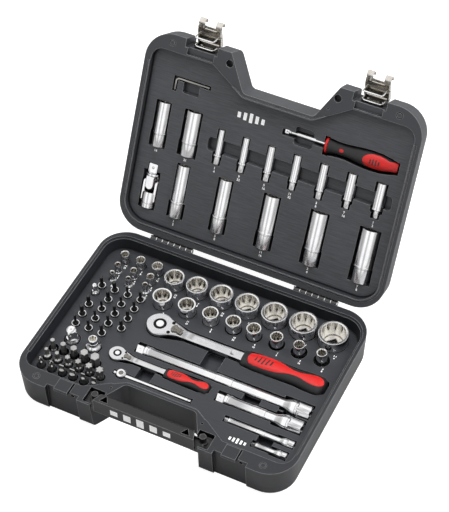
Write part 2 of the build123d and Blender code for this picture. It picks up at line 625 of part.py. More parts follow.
# ================= sockets =================
def socket(od, base_od, height, af, drive, points=12, waist=0.36, mouth=0.5, ring=0):
    # stands on z = 0 with its drive end down and the wrench opening up
    r = od / 2
    rb = base_od / 2
    hw = height * waist
    with BuildPart() as s:
        with BuildSketch(Plane.XZ):
            with BuildLine():
                Polyline((0, 0), (rb - 0.6, 0), (rb, 0.6), (rb, hw), (r, hw + max(rb - r, 0.01)),
                         (r, height - 0.8), (r - 0.8, height), (0, height), close=True)
            make_face()
        revolve(axis=Axis.Z)
        depth = height * mouth
        with BuildSketch(Plane.XY.offset(height)):
            RegularPolygon(af / 2, 6, major_radius=False)
            if points == 12:
                RegularPolygon(af / 2, 6, major_radius=False, rotation=30)
        extrude(amount=-depth, mode=Mode.SUBTRACT)
        with Locations((0, 0, height - depth)):
            Cylinder(min(af * 0.40, drive * 0.55), 6, mode=Mode.SUBTRACT)
        with BuildSketch(Plane.XY):
            Rectangle(drive, drive)
        extrude(amount=min(drive * 1.2, height * 0.42), mode=Mode.SUBTRACT)
        with Locations((0, 0, hw - 1.6)):
            Cylinder(rb + 1, 1.0, mode=Mode.SUBTRACT)
            Cylinder(rb - 0.3, 1.0)
        if ring:
            # a flange where the drive end meets the body; the bore is kept clear of it
            with BuildSketch(Plane.XY.offset(hw)):
                Circle(ring / 2)
                Circle(min(r, rb) - 0.1, mode=Mode.SUBTRACT)
            extrude(amount=1.6)
    return s.part


back = [Pos(x, row_y(BACK_Y, x), SOCKET_TOP - h) * socket(od, od, h, af, 12.8)
        for x, od, h, af in zip(BACK_X, BACK_OD, BACK_H, BACK_AF)]
front = [Pos(x, row_y(FRONT_Y, x), SOCKET_TOP - 38) * socket(od, b, 38, af, 12.8)
         for x, od, b, af in zip(FRONT_X, FRONT_OD, FRONT_BASE, FRONT_AF)]
quarters = [Pos(QUARTER_X[i], QUARTER_Y[j], SMALL_TOP - QUARTER_H)
            * socket(QUARTER_OD[j][i], max(QUARTER_OD[j][i], 11.6), QUARTER_H, QUARTER_AF[j][i], 6.4, waist=0.5)
            for j in range(3) for i in range(3)]

with BuildPart() as half_sockets_back:
    add(back)
save(half_sockets_back.part, "half_inch_sockets_back_row")

with BuildPart() as half_sockets_front:
    add(front)
save(half_sockets_front.part, "half_inch_sockets_front_row")

with BuildPart() as quarter_sockets:
    add(quarters)
save(quarter_sockets.part, "quarter_inch_sockets")


# ---- sockets lying in the lid: mouth towards the case front, drive end towards the hinges ----
def lying(part, x, y_near, length, od, lift):
    # the lowest side of the piece (nearest the base when closed) is at LID_Z + lift
    z = LID_Z + lift + od / 2
    return Pos(x, y_near + length, z) * Rot(90, 0, 0) * part


deep = [lying(socket(d, b, DEEP_L, af, 12.8, waist=0.27, mouth=0.42), x, DEEP_Y, DEEP_L, max(d, b), 2.6)
        for x, d, b, af in zip(DEEP_X, DEEP_OD, DEEP_BASE, DEEP_AF)]
spark = [lying(socket(d, d, SPARK_L, af, 12.8, points=6, waist=0.30, mouth=0.55), x, SPARK_Y, SPARK_L, d, 4.0)
         for x, d, af in zip(SPARK_X, SPARK_OD, SPARK_AF)]
deepq = [lying(socket(d, 10.0, DEEPQ_L, af, 6.4, waist=0.24, mouth=0.5, ring=max(d, 11.8) + 0.4), x, DEEPQ_Y,
               DEEPQ_L, max(d, 11.8), 6.0) for x, d, af in zip(DEEPQ_X, DEEPQ_OD, DEEPQ_AF)]

with BuildPart() as deep_half:
    add(deep)
save(opened(deep_half.part), "half_inch_deep_sockets")

with BuildPart() as spark_sockets:
    add(spark)
save(opened(spark_sockets.part), "spark_plug_sockets")

with BuildPart() as deep_quarter:
    add(deepq)
save(opened(deep_quarter.part), "quarter_inch_deep_sockets")


# ================= bits =================
def bit_blank(top, shank, grip_z):
    # hexagonal shank with a chamfered foot, standing on z = 0
    with BuildPart() as b:
        with BuildSketch(Plane.XY):
            RegularPolygon(shank / 2, 6, major_radius=False)
        extrude(amount=grip_z)
        chamfer(b.faces().sort_by(Axis.Z)[0].edges(), 0.8)
        with BuildSketch(Plane.XY.offset(grip_z)):
            RegularPolygon(top / 2, 6, major_radius=False)
        extrude(amount=BIG_BIT_H - grip_z)
    return b.part


def star_bit(r, shank):
    with BuildPart() as b:
        with BuildSketch(Plane.XY):
            RegularPolygon(shank / 2, 6, major_radius=False)
        extrude(amount=18)
        chamfer(b.faces().sort_by(Axis.Z)[0].edges(), 0.8)
        with BuildSketch(Plane.XY.offset(18)):
            Circle(r * 0.80)
            with PolarLocations(r * 0.72, 6):
                Circle(r * 0.28)
        extrude(amount=BIG_BIT_H - 18)
    return b.part


def blade_bit(width, thick, cross):
    with BuildPart() as b:
        with BuildSketch(Plane.XY):
            RegularPolygon(5.0, 6, major_radius=False)
        extrude(amount=17)
        chamfer(b.faces().sort_by(Axis.Z)[0].edges(), 0.8)
        with BuildSketch(Plane.XY.offset(17)):
            Circle(4.6)
        with BuildSketch(Plane.XY.offset(22)):
            Circle(width / 2)
        loft()
        with BuildSketch(Plane.XY.offset(22)):
            Rectangle(width, thick)
            if cross:
                Rectangle(thick, width)
        extrude(amount=BIG_BIT_H - 22)
    return b.part


BIT_Z = SOCKET_TOP - BIG_BIT_H
hexes = [Pos(BIG_BIT_X0 + i * BIG_BIT_DX, HEX_Y, BIT_Z) * bit_blank(af, max(af, 10.0), 17.0 if af < 10 else 12.0)
         for i, af in enumerate(HEX_AF)]
stars = [Pos(BIG_BIT_X0 + i * BIG_BIT_DX, STAR_Y, BIT_Z) * star_bit(3.0 + 0.5 * i, 10.0) for i in range(6)]
blades = [Pos(BIG_BIT_X0 + i * BIG_BIT_DX, BLADE_Y, BIT_Z) * blade_bit(6.0 + 0.7 * (i % 4), 1.4, i < 2)
          for i in range(6)]

with BuildPart() as hex_bits:
    add(hexes)
save(hex_bits.part, "hex_bits")

with BuildPart() as star_bits:
    add(stars)
save(star_bits.part, "star_bits")

with BuildPart() as blade_bits:
    add(blades)
save(blade_bits.part, "cross_and_slot_bits")

# 1/4 inch bit sockets: a chrome collar with a black bit held in its bore
with BuildPart() as collars:
    for x, y in collar_spots():
        with Locations((x, y, COLLAR_TOP - COLLAR_H / 2)):
            Cylinder(COLLAR_D / 2, COLLAR_H)
            Cylinder(COLLAR_D / 2 + 1, 1.0, mode=Mode.SUBTRACT)
            Cylinder(COLLAR_D / 2 - 0.5, 1.0)
        with Locations((x, y, COLLAR_TOP - 5)):
            Cylinder(3.5, 10, mode=Mode.SUBTRACT)
        with Locations((x, y, COLLAR_TOP - COLLAR_H + 4)):
            Box(6.4, 6.4, 8, mode=Mode.SUBTRACT)
save(collars.part, "bit_socket_collars")

with BuildPart() as bit_tips:
    for x, y in collar_spots():
        with Locations((x, y, COLLAR_TOP - 3.5)):
            Cylinder(3.5, 13)
        with BuildSketch(Plane.XY.offset(COLLAR_TOP + 3)):
            with Locations((x, y)):
                RegularPolygon(2.8, 6, major_radius=False)
        extrude(amount=13.5)
save(bit_tips.part, "bit_socket_tips")

# ---- adaptors ----
with BuildPart() as half_adaptor:
    with Locations((*HALF_ADAPTOR, RIM_Z + 1 - 36 + 9)):
        Cylinder(10.6, 18)
    with Locations((*HALF_ADAPTOR, RIM_Z + 1 - 36 + 19.5)):
        Cone(10.6, 7.4, 3)
    with Locations((*HALF_ADAPTOR, RIM_Z + 1 - 7.5)):
        Box(12.6, 12.6, 15)
    chamfer(half_adaptor.faces().sort_by(Axis.Z)[-1].edges(), 1.2)
    with Locations((*HALF_ADAPTOR, RIM_Z + 1 - 36)):
        Box(9.6, 9.6, 24, mode=Mode.SUBTRACT)
save(half_adaptor.part, "half_inch_adaptor")

with BuildPart() as bit_holder:
    with Locations((*BIT_HOLDER, RIM_Z - 2 - 34 + 7.5)):
        Box(12.6, 12.6, 15)
    with Locations((*BIT_HOLDER, RIM_Z - 2 - 34 + 17)):
        Cylinder(10.5, 6)
    with Locations((*BIT_HOLDER, RIM_Z - 2 - 14 + 1.5)):
        Cone(10.5, 6.8, 3)
    with Locations((*BIT_HOLDER, RIM_Z - 2 - 6)):
        Cylinder(6.4, 12)
    with BuildSketch(Plane.XY.offset(RIM_Z - 2)):
        with Locations(BIT_HOLDER):
            RegularPolygon(4.2, 6, major_radius=False)
    extrude(amount=-14, mode=Mode.SUBTRACT)
save(bit_holder.part, "bit_holder")

with BuildPart() as quarter_adaptor:
    with Locations((*QUARTER_ADAPTOR, RIM_Z - 3 - 26 + 7)):
        Cylinder(5.9, 14)
    with Locations((*QUARTER_ADAPTOR, RIM_Z - 3 - 26 + 16)):
        Cone(5.9, 4.0, 4)
    with Locations((*QUARTER_ADAPTOR, RIM_Z - 3 - 4.5)):
        Box(6.3, 6.3, 9)
    chamfer(quarter_adaptor.faces().sort_by(Axis.Z)[-1].edges(), 0.7)
    with Locations((*QUARTER_ADAPTOR, RIM_Z - 3 - 26)):
        Box(6.4, 6.4, 16, mode=Mode.SUBTRACT)
save(quarter_adaptor.part, "quarter_inch_adaptor")


# ================= ratchets =================
def ratchet_outline(x, y, r, neck_x, neck, end_x, end_w):
    with BuildSketch(mode=Mode.PRIVATE) as sk:
        with Locations((x, y)):
            Circle(r)
        with Locations((neck_x, y)):
            Circle(neck)
        make_hull()
        with BuildLine():
            Polyline((neck_x, y - neck * 0.9), (end_x, y - end_w / 2), (end_x, y + end_w / 2),
                     (neck_x, y + neck * 0.9), close=True)
        make_face()
    return sk.sketch


for name, x, y, top, r, thick, neck_x, neck, gx, gl, gw, sq, lev in (
    ("large", RATCHET_X, RATCHET_Y, RATCHET_TOP, 18.6, 15.0, -32.0, 9.4, 60.0, 121.0, 31.0, 12.7, 23.0),
    ("small", SMALL_X, SMALL_Y, SMALL_RTOP, 11.4, 11.0, -74.0, 5.8, -22.0, 66.0, 19.6, 6.35, 13.6),
):
    pin = r * 0.52
    with BuildPart() as body:
        with BuildSketch(Plane.XY.offset(top - thick)):
            add(ratchet_outline(x, y, r, neck_x, neck, gx + 12, neck * 1.5))
        extrude(amount=thick)
        chamfer(body.faces().sort_by(Axis.Z)[-1].edges(), 0.6)
        with Locations((x + lev + (gx + 14 - x - lev) / 2 + r * 0.3, y, top)):
            Box(gx + 14 - x - lev, 4 * r, thick * 0.42, mode=Mode.SUBTRACT)
        with Locations((x, y, top - thick / 2)):
            Cylinder(pin + 0.05, thick + 2, mode=Mode.SUBTRACT)
        with Locations((x + lev, y, top - 2)):
            Cylinder(r * 0.27 + 0.05, 4.2, mode=Mode.SUBTRACT)
    save(body.part, name + "_ratchet_body")
    with BuildPart() as drive:
        with Locations((x, y, top - thick / 2 - 0.2)):
            Cylinder(pin, thick - 0.4)
        with Locations((x, y, top - thick - sq / 2 - 0.3)):
            Box(sq, sq, sq + 0.6)
        chamfer(drive.faces().sort_by(Axis.Z)[0].edges(), sq * 0.08)
        with Locations((x, y, top - thick / 2)):
            Cylinder(pin * 0.66 + 0.05, thick + 2, mode=Mode.SUBTRACT)
    save(drive.part, name + "_ratchet_drive")
    with BuildPart() as button:
        with Locations((x, y, top - thick * 0.35 + 0.4)):
            Cylinder(pin * 0.66, thick * 0.7 + 0.8)
    save(button.part, name + "_ratchet_button")
    with BuildPart() as rlever:
        with Locations((x + lev, y, top - 1.1)):
            Cylinder(r * 0.27, 2.8)
        with Locations((x + lev, y, top + 1.4)):
            Cylinder(r * 0.27, 2.2)
        with Locations(Location((x + lev, y, top + 1.4), (0, 0, LEVER_TURN))):
            with Locations((r * 0.36, 0, 0)):
                Box(r * 0.5, r * 0.26, 2.2)
    save(rlever.part, name + "_ratchet_lever")
    with BuildPart() as grip:
        with BuildSketch(Plane.XY.offset(top - thick * 0.62)):
            add(outline(mirrored(gx, LARGE_GRIP if name == "large" else SMALL_GRIP, y), gw * 0.13))
        extrude(amount=gw * 0.42, both=True)
        fillet(grip.faces().sort_by(Axis.Z)[-1].edges(), gw * 0.10)
        fillet(grip.faces().sort_by(Axis.Z)[0].edges(), gw * 0.10)
        with BuildSketch(Plane.XY.offset(top - thick)):
            add(ratchet_outline(x, y, r, neck_x, neck, gx + 12, neck * 1.5))
        extrude(amount=thick * 0.79, mode=Mode.SUBTRACT)
        with BuildSketch(Plane.XY.offset(top - thick * 0.62 + gw * 0.42)):
            with Locations((gx + gl * 0.53, y)):
                SlotOverall(gl * 0.84, gw * 0.5)
        extrude(amount=-gw * 0.06, mode=Mode.SUBTRACT)
    save(grip.part, name + "_ratchet_grip")
    with BuildPart() as inlay:
        with BuildSketch(Plane.XY.offset(top - thick * 0.62 + gw * 0.42)):
            with Locations((gx + gl * 0.53, y)):
                SlotOverall(gl * 0.84, gw * 0.5)
        extrude(amount=-gw * 0.06)
    save(inlay.part, name + "_ratchet_inlay")


# ================= extensions and T-bar =================
def extension(length, sq, r_neck, r_shaft, r_end, end_len, knurl):
    # axis along +X from x = 0: square drive, neck, shaft, knurled band, wobble-free socket end
    k0, k1 = knurl
    with BuildPart() as e:
        with Locations((sq / 2, 0, 0)):
            Box(sq, sq, sq)
        chamfer(e.faces().sort_by(Axis.X)[0].edges(), sq * 0.1)
        with BuildSketch(Plane.XY):
            with BuildLine():
                Polyline((sq, 0), (sq, r_neck), (sq + 4, r_neck), (sq + 7, r_shaft), (k0, r_shaft), (k0, r_shaft + 0.5),
                         (k1, r_shaft + 0.5), (k1, r_shaft), (length - end_len - 10, r_shaft),
                         (length - end_len, r_end), (length - 0.8, r_end), (length, r_end - 0.8),
                         (length, 0), close=True)
            make_face()
        revolve(axis=Axis.X)
        with Locations((length, 0, 0)):
            Box(2.4 * sq, sq + 0.1, sq + 0.1, mode=Mode.SUBTRACT)
        with Locations((sq / 2, 0, sq / 2 - 0.2)):
            Sphere(sq * 0.15)
    return e.part


for name, (x0, y, length), z, dims in (
    ("long_extension", LONG_EXT, EXT_Z, (12.6, 8.2, 7.0, 11.4, 30, (112 + 75.5, 137 + 75.5))),
    ("short_extension", SHORT_EXT, EXT_Z, (12.6, 8.2, 7.0, 11.4, 30, (55, 78))),
    ("long_quarter_extension", LONG_QUARTER, QUARTER_Z, (6.3, 4.6, 3.8, 6.1, 14, (50, 68))),
    ("short_quarter_extension", SHORT_QUARTER, QUARTER_Z, (6.3, 4.6, 3.8, 6.1, 12, (17, 24))),
):
    save(Pos(x0, y, z) * extension(length, *dims), name)

with BuildPart() as t_bar_rod:
    with Locations(((T_BAR_X0 + T_BAR_X1) / 2, T_BAR_Y, T_BAR_Z)):
        Cylinder(3.0, T_BAR_X1 - T_BAR_X0, rotation=(0, 90, 0))
    chamfer(t_bar_rod.edges(), 0.6)
save(t_bar_rod.part, "t_bar_rod")

with BuildPart() as t_bar_head:
    with Locations((T_HEAD_X, T_BAR_Y, T_BAR_Z - 3.5)):
        Cylinder(7.0, 17)
    with Locations((T_HEAD_X, T_BAR_Y, T_BAR_Z - 12 - 3.2)):
        Box(6.3, 6.3, 6.6)
    with Locations((T_HEAD_X, T_BAR_Y, T_BAR_Z)):
        Cylinder(3.06, 20, rotation=(0, 90, 0), mode=Mode.SUBTRACT)
    chamfer(t_bar_head.faces().sort_by(Axis.Z)[-1].edges(), 0.8)
save(t_bar_head.part, "t_bar_head")


# ================= universal joint, drawn lying in the closed lid =================
JOINT_Z = LID_Z + 4.0 + JOINT_D / 2
JOINT_PIVOT = JOINT_Y + 0.47 * JOINT_L
with BuildPart() as joint_socket:
    with Locations((JOINT_X, JOINT_Y + JOINT_L - 12, JOINT_Z)):
        Cylinder(JOINT_D / 2, 24, rotation=(90, 0, 0))
    with Locations((JOINT_X - 8.6, JOINT_PIVOT + 4, JOINT_Z), (JOINT_X + 8.6, JOINT_PIVOT + 4, JOINT_Z)):
        Box(4.0, 20, 12)
    with Locations((JOINT_X, JOINT_PIVOT, JOINT_Z)):
        Cylinder(3.05, 30, rotation=(0, 90, 0), mode=Mode.SUBTRACT)
    with Locations((JOINT_X, JOINT_Y + JOINT_L, JOINT_Z)):
        Box(12.8, 30, 12.8, mode=Mode.SUBTRACT)
save(opened(joint_socket.part), "joint_socket_yoke")

with BuildPart() as joint_drive:
    with Locations((JOINT_X, JOINT_Y + 7, JOINT_Z)):
        Box(12.6, 14, 12.6)
    with Locations((JOINT_X, JOINT_Y + 16, JOINT_Z)):
        Cylinder(JOINT_D / 2, 5, rotation=(90, 0, 0))
    with Locations((JOINT_X, JOINT_PIVOT - 3.5, JOINT_Z - 8.6), (JOINT_X, JOINT_PIVOT - 3.5, JOINT_Z + 8.6)):
        Box(12, 19, 4.0)
    with Locations((JOINT_X, JOINT_PIVOT, JOINT_Z)):
        Cylinder(3.05, 30, mode=Mode.SUBTRACT)
save(opened(joint_drive.part), "joint_drive_yoke")

with BuildPart() as joint_cross:
    with Locations((JOINT_X, JOINT_PIVOT, JOINT_Z)):
        Box(11, 11, 11)
        Cylinder(3.0, 21)
        Cylinder(3.0, 21, rotation=(0, 90, 0))
save(opened(joint_cross.part), "joint_cross")


# ================= spinner handle, drawn lying in the closed lid =================
SPINNER_Z = LID_Z + 17.5
SPIN_X = SPINNER_X + 60
with BuildPart() as spinner_shaft:
    with Locations((SPINNER_X + 4, SPINNER_Y, SPINNER_Z)):
        Box(8, 6.3, 6.3)
    with Locations((SPINNER_X + 8 + 35, SPINNER_Y, SPINNER_Z)):
        Cylinder(3.6, 70, rotation=(0, 90, 0))
save(opened(spinner_shaft.part), "spinner_shaft")

with BuildPart() as spinner_grip:
    with BuildSketch(Plane.XY.offset(SPINNER_Z)):
        with BuildLine():
            Spline(*[(SPIN_X + d, SPINNER_Y + r) for d, r in SPIN_PROFILE])
            Polyline((SPIN_X + 104, SPINNER_Y + 7.8), (SPIN_X + 104, SPINNER_Y), (SPIN_X + 4, SPINNER_Y),
                     (SPIN_X + 4, SPINNER_Y + 11.6))
        make_face()
    revolve(axis=Axis((0, SPINNER_Y, SPINNER_Z), (1, 0, 0)))
    with Locations((SPINNER_X + 43, SPINNER_Y, SPINNER_Z)):
        Cylinder(3.6, 70, rotation=(0, 90, 0), mode=Mode.SUBTRACT)
save(opened(spinner_grip.part), "spinner_grip")

with BuildPart() as spinner_collar:
    with Locations((SPIN_X + 2, SPINNER_Y, SPINNER_Z)):
        Cylinder(12.6, 3.8, rotation=(0, 90, 0))
        Cylinder(3.6, 5, rotation=(0, 90, 0), mode=Mode.SUBTRACT)
save(opened(spinner_collar.part), "spinner_collar")

with BuildPart() as spinner_badge:
    # oval inlay on the side of the grip that faces out of the lid tray
    with BuildSketch(Plane.XY.offset(SPINNER_Z - 16)):
        with Locations((SPIN_X + 74, SPINNER_Y)):
            Ellipse(22, 7.6)
    extrude(amount=12)
    with BuildSketch(Plane.XY.offset(SPINNER_Z)):
        with BuildLine():
            Spline(*[(SPIN_X + d, SPINNER_Y + r + 0.4) for d, r in SPIN_PROFILE])
            Polyline((SPIN_X + 104, SPINNER_Y + 8.2), (SPIN_X + 104, SPINNER_Y), (SPIN_X + 4, SPINNER_Y),
                     (SPIN_X + 4, SPINNER_Y + 12.0))
        make_face()
    revolve(axis=Axis((0, SPINNER_Y, SPINNER_Z), (1, 0, 0)), mode=Mode.INTERSECT)
    add(spinner_grip.part, mode=Mode.SUBTRACT)
save(opened(spinner_badge.part), "spinner_badge")

with BuildPart() as hex_key:
    with BuildLine():
        FilletPolyline((KEY_X + 51, KEY_Y, LID_TRAY + 2.2), (KEY_X + 1.8, KEY_Y, LID_TRAY + 2.2),
                       (KEY_X + 1.8, KEY_Y + 17, LID_TRAY + 2.2), radius=4)
    with BuildSketch(Plane((KEY_X + 51, KEY_Y, LID_TRAY + 2.2), z_dir=(-1, 0, 0))):
        RegularPolygon(KEY_D / 2, 6, major_radius=False)
    sweep()
save(opened(hex_key.part), "hex_key")
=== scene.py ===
import json
import math

import bmesh
import bpy
import numpy as np
from mathutils import Matrix, Vector


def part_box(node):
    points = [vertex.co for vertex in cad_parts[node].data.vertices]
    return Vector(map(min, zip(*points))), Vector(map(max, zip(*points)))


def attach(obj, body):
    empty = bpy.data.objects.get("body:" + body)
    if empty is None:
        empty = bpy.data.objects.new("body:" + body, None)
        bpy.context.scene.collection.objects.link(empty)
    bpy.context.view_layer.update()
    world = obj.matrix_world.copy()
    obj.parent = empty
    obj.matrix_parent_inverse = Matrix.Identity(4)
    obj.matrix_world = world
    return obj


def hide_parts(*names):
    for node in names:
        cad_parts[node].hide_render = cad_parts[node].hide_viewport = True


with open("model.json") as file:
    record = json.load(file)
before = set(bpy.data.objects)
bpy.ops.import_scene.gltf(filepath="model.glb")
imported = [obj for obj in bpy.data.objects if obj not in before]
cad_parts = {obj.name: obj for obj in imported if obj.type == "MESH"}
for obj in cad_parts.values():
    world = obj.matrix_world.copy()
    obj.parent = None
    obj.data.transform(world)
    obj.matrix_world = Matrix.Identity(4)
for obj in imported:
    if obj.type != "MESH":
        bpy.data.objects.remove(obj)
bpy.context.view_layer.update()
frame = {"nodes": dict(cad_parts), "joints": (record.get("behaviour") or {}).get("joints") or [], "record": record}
MM = 0.001
NODES = frame["nodes"]
JOINTS = {j["name"]: j for j in frame["joints"]}
scene = bpy.context.scene
scene.view_settings.view_transform = "Standard"
scene.view_settings.look = "None"

# ---------------------------------------------------------------- the lid's closed frame
HINGE = Vector(JOINTS["lid_hinge"]["pos_m"])
OPEN = math.radians(-JOINTS["lid_hinge"]["range_deg"][0])
OPENED = Matrix.Translation(HINGE) @ Matrix.Rotation(-OPEN, 4, "X") @ Matrix.Translation(-HINGE)
CLOSED = OPENED.inverted()


def coords(node):
    o = NODES[node]
    co = np.zeros(len(o.data.vertices) * 3, np.float32)
    o.data.vertices.foreach_get("co", co)
    return co.reshape(-1, 3).astype(float)


def box_mm(node):
    return [v * 1000 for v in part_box(node)]


def middle(lo, hi):
    return [(lo[i] + hi[i]) / 2 for i in range(3)]


def link(name, data):
    o = bpy.data.objects.new(name, data)
    scene.collection.objects.link(o)
    return o


def islands(node, lid=False):
    """Boxes (low, high) of the separate solids of a node, in mm; in the lid's closed frame if lid."""
    o = NODES[node]
    co = coords(node)
    if lid:
        m = np.array(CLOSED)
        co = co @ m[:3, :3].T + m[:3, 3]
    key = np.round(co * 2e4).astype(np.int64)
    _, same = np.unique(key, axis=0, return_inverse=True)
    same = same.ravel()
    parent = list(range(same.max() + 1))

    def root(i):
        while parent[i] != i:
            parent[i] = parent[parent[i]]
            i = parent[i]
        return i

    for e in o.data.edges:
        a, b = root(same[e.vertices[0]]), root(same[e.vertices[1]])
        if a != b:
            parent[a] = b
    groups = {}
    roots = np.array([root(i) for i in range(len(parent))])[same]
    for r in np.unique(roots):
        pts = co[roots == r] * 1000
        groups[r] = (pts.min(0), pts.max(0))
    # solids nested in one another (bores) share a box: keep the outer ones
    out = []
    for lo, hi in sorted(groups.values(), key=lambda g: -float(np.prod(g[1] - g[0] + 1e-6))):
        if not any((lo >= a - 0.05).all() and (hi <= b + 0.05).all() for a, b in out):
            out.append((lo, hi))
    out.sort(key=lambda g: float(g[0][1] + g[1][1]))
    rows, last = [], None
    for g in out:
        y = float(g[0][1] + g[1][1]) / 2
        if last is None or y - last > 4.5:
            rows.append([])
        rows[-1].append(g)
        last = y
    return [g for row in rows for g in sorted(row, key=lambda g: float(g[0][0]))]


# ---------------------------------------------------------------- materials
def new_material(name):
    m = bpy.data.materials.new(name)
    m.use_nodes = True
    nt = m.node_tree
    nt.nodes.clear()
    out = nt.nodes.new("ShaderNodeOutputMaterial")
    bsdf = nt.nodes.new("ShaderNodeBsdfPrincipled")
    nt.links.new(bsdf.outputs[0], out.inputs[0])
    return m, nt, bsdf


def add(nt, kind, **kw):
    n = nt.nodes.new(kind)
    for k, v in kw.items():
        if k in n.inputs:
            n.inputs[k].default_value = v
        else:
            setattr(n, k, v)
    return n


def mapping(nt, scale):
    co = nt.nodes.new("ShaderNodeTexCoord")
    mp = nt.nodes.new("ShaderNodeMapping")
    mp.inputs["Scale"].default_value = scale
    nt.links.new(co.outputs["Object"], mp.inputs[0])
    return mp


def ramp(nt, fac, stops):
    r = nt.nodes.new("ShaderNodeValToRGB")
    el = r.color_ramp.elements
    while len(el) < len(stops):
        el.new(0.5)
    for e, (p, c) in zip(el, stops):
        e.position = p
        e.color = (*c, 1) if len(c) == 3 else c
    nt.links.new(fac, r.inputs[0])
    return r


def shade(c, k):
    return tuple(min(1.0, x * k) for x in c)


def plastic(name, color, rough=0.5, grain=900.0, bump=0.12, streak=(1, 1, 1), edge=0.0006, spec=0.5,
            vary=0.12,
            edge_highlight=None, deep=0.0):
    m, nt, b = new_material(name)
    mp = mapping(nt, streak)
    fine = add(nt, "ShaderNodeTexNoise", Scale=grain, Detail=3.0, Roughness=0.6)
    soft = add(nt, "ShaderNodeTexNoise", Scale=14.0, Detail=4.0, Roughness=0.55)
    co = nt.nodes.new("ShaderNodeTexCoord")
    nt.links.new(mp.outputs[0], fine.inputs["Vector"])
    nt.links.new(co.outputs["Object"], soft.inputs["Vector"])
    mix = add(nt, "ShaderNodeMix", data_type="RGBA")
    mix.inputs[0].default_value = 0.5
    r1 = ramp(nt, fine.outputs[0], [(0.3, shade(color, 1 - vary)), (0.7, shade(color, 1 + vary))])
    r2 = ramp(nt, soft.outputs[0], [(0.3, shade(color, 1 - vary * 0.6)), (0.7, shade(color, 1 + vary * 0.6))])
    nt.links.new(r1.outputs[0], mix.inputs[6])
    nt.links.new(r2.outputs[0], mix.inputs[7])
    col = mix.outputs[2]
    if edge_highlight:
        # painted highlight: edges lighter where the bevelled normal leaves the true one, standing in for light
        # catching them
        be = add(nt, "ShaderNodeBevel", samples=8, Radius=edge_highlight[1])
        ge = nt.nodes.new("ShaderNodeNewGeometry")
        dot = add(nt, "ShaderNodeVectorMath", operation="DOT_PRODUCT")
        nt.links.new(be.outputs[0], dot.inputs[0])
        nt.links.new(ge.outputs["Normal"], dot.inputs[1])
        rim = ramp(nt, dot.outputs["Value"], [(0.86, (1, 1, 1)), (0.99, (0, 0, 0))])
        ew = add(nt, "ShaderNodeMix", data_type="RGBA")
        ew.inputs[7].default_value = (*edge_highlight[0], 1)
        nt.links.new(rim.outputs[0], ew.inputs[0])
        nt.links.new(col, ew.inputs[6])
        col = ew.outputs[2]
    if deep:
        # painted shade: colour darkened in crevices, where ambient occlusion finds nearby surfaces
        ao = add(nt, "ShaderNodeAmbientOcclusion", samples=6)
        ao.inputs["Distance"].default_value = deep
        crevice_shade_ramp = ramp(nt, ao.outputs["AO"], [(0.40, (0.06,) * 3), (0.58, (0.55,) * 3), (0.85, (1, 1, 1))])
        crevice_shade_mix = add(nt, "ShaderNodeMix", data_type="RGBA", blend_type="MULTIPLY")
        crevice_shade_mix.inputs[0].default_value = 1.0
        nt.links.new(col, crevice_shade_mix.inputs[6])
        nt.links.new(crevice_shade_ramp.outputs[0], crevice_shade_mix.inputs[7])
        col = crevice_shade_mix.outputs[2]
    nt.links.new(col, b.inputs["Base Color"])
    rr = ramp(nt, soft.outputs[0], [(0.2, (rough * 0.9,) * 3), (0.8, (min(1, rough * 1.12),) * 3)])
    nt.links.new(rr.outputs[0], b.inputs["Roughness"])
    b.inputs["Specular IOR Level"].default_value = spec
    bm = add(nt, "ShaderNodeBump", Strength=bump, Distance=0.0002)
    nt.links.new(fine.outputs[0], bm.inputs["Height"])
    if edge:
        bv = add(nt, "ShaderNodeBevel", samples=4, Radius=edge)
        nt.links.new(bv.outputs[0], bm.inputs["Normal"])
    nt.links.new(bm.outputs[0], b.inputs["Normal"])
    return m


def metal(name, color, rough=0.14, scratch=(60, 60, 60), bump=0.03, edge=0.0003, spread=0.5, dirt=None):
    m, nt, b = new_material(name)
    b.inputs["Metallic"].default_value = 1.0
    mp = mapping(nt, scratch)
    n1 = add(nt, "ShaderNodeTexNoise", Scale=18.0, Detail=5.0, Roughness=0.65)
    nt.links.new(mp.outputs[0], n1.inputs["Vector"])
    co = nt.nodes.new("ShaderNodeTexCoord")
    n2 = add(nt, "ShaderNodeTexNoise", Scale=60.0, Detail=2.0)
    nt.links.new(co.outputs["Object"], n2.inputs["Vector"])
    lo = dirt or shade(color, 0.9)
    rc = ramp(nt, n2.outputs[0], [(0.3, lo), (0.65, color)])
    nt.links.new(rc.outputs[0], b.inputs["Base Color"])
    rr = ramp(nt, n1.outputs[0], [(0.25, (rough * (1 - spread),) * 3), (0.75, (rough * (1 + spread),) * 3)])
    nt.links.new(rr.outputs[0], b.inputs["Roughness"])
    if bump:
        bm = add(nt, "ShaderNodeBump", Strength=bump, Distance=0.0001)
        nt.links.new(n1.outputs[0], bm.inputs["Height"])
        if edge:
            bv = add(nt, "ShaderNodeBevel", samples=4, Radius=edge)
            nt.links.new(bv.outputs[0], bm.inputs["Normal"])
        nt.links.new(bm.outputs[0], b.inputs["Normal"])
    return m
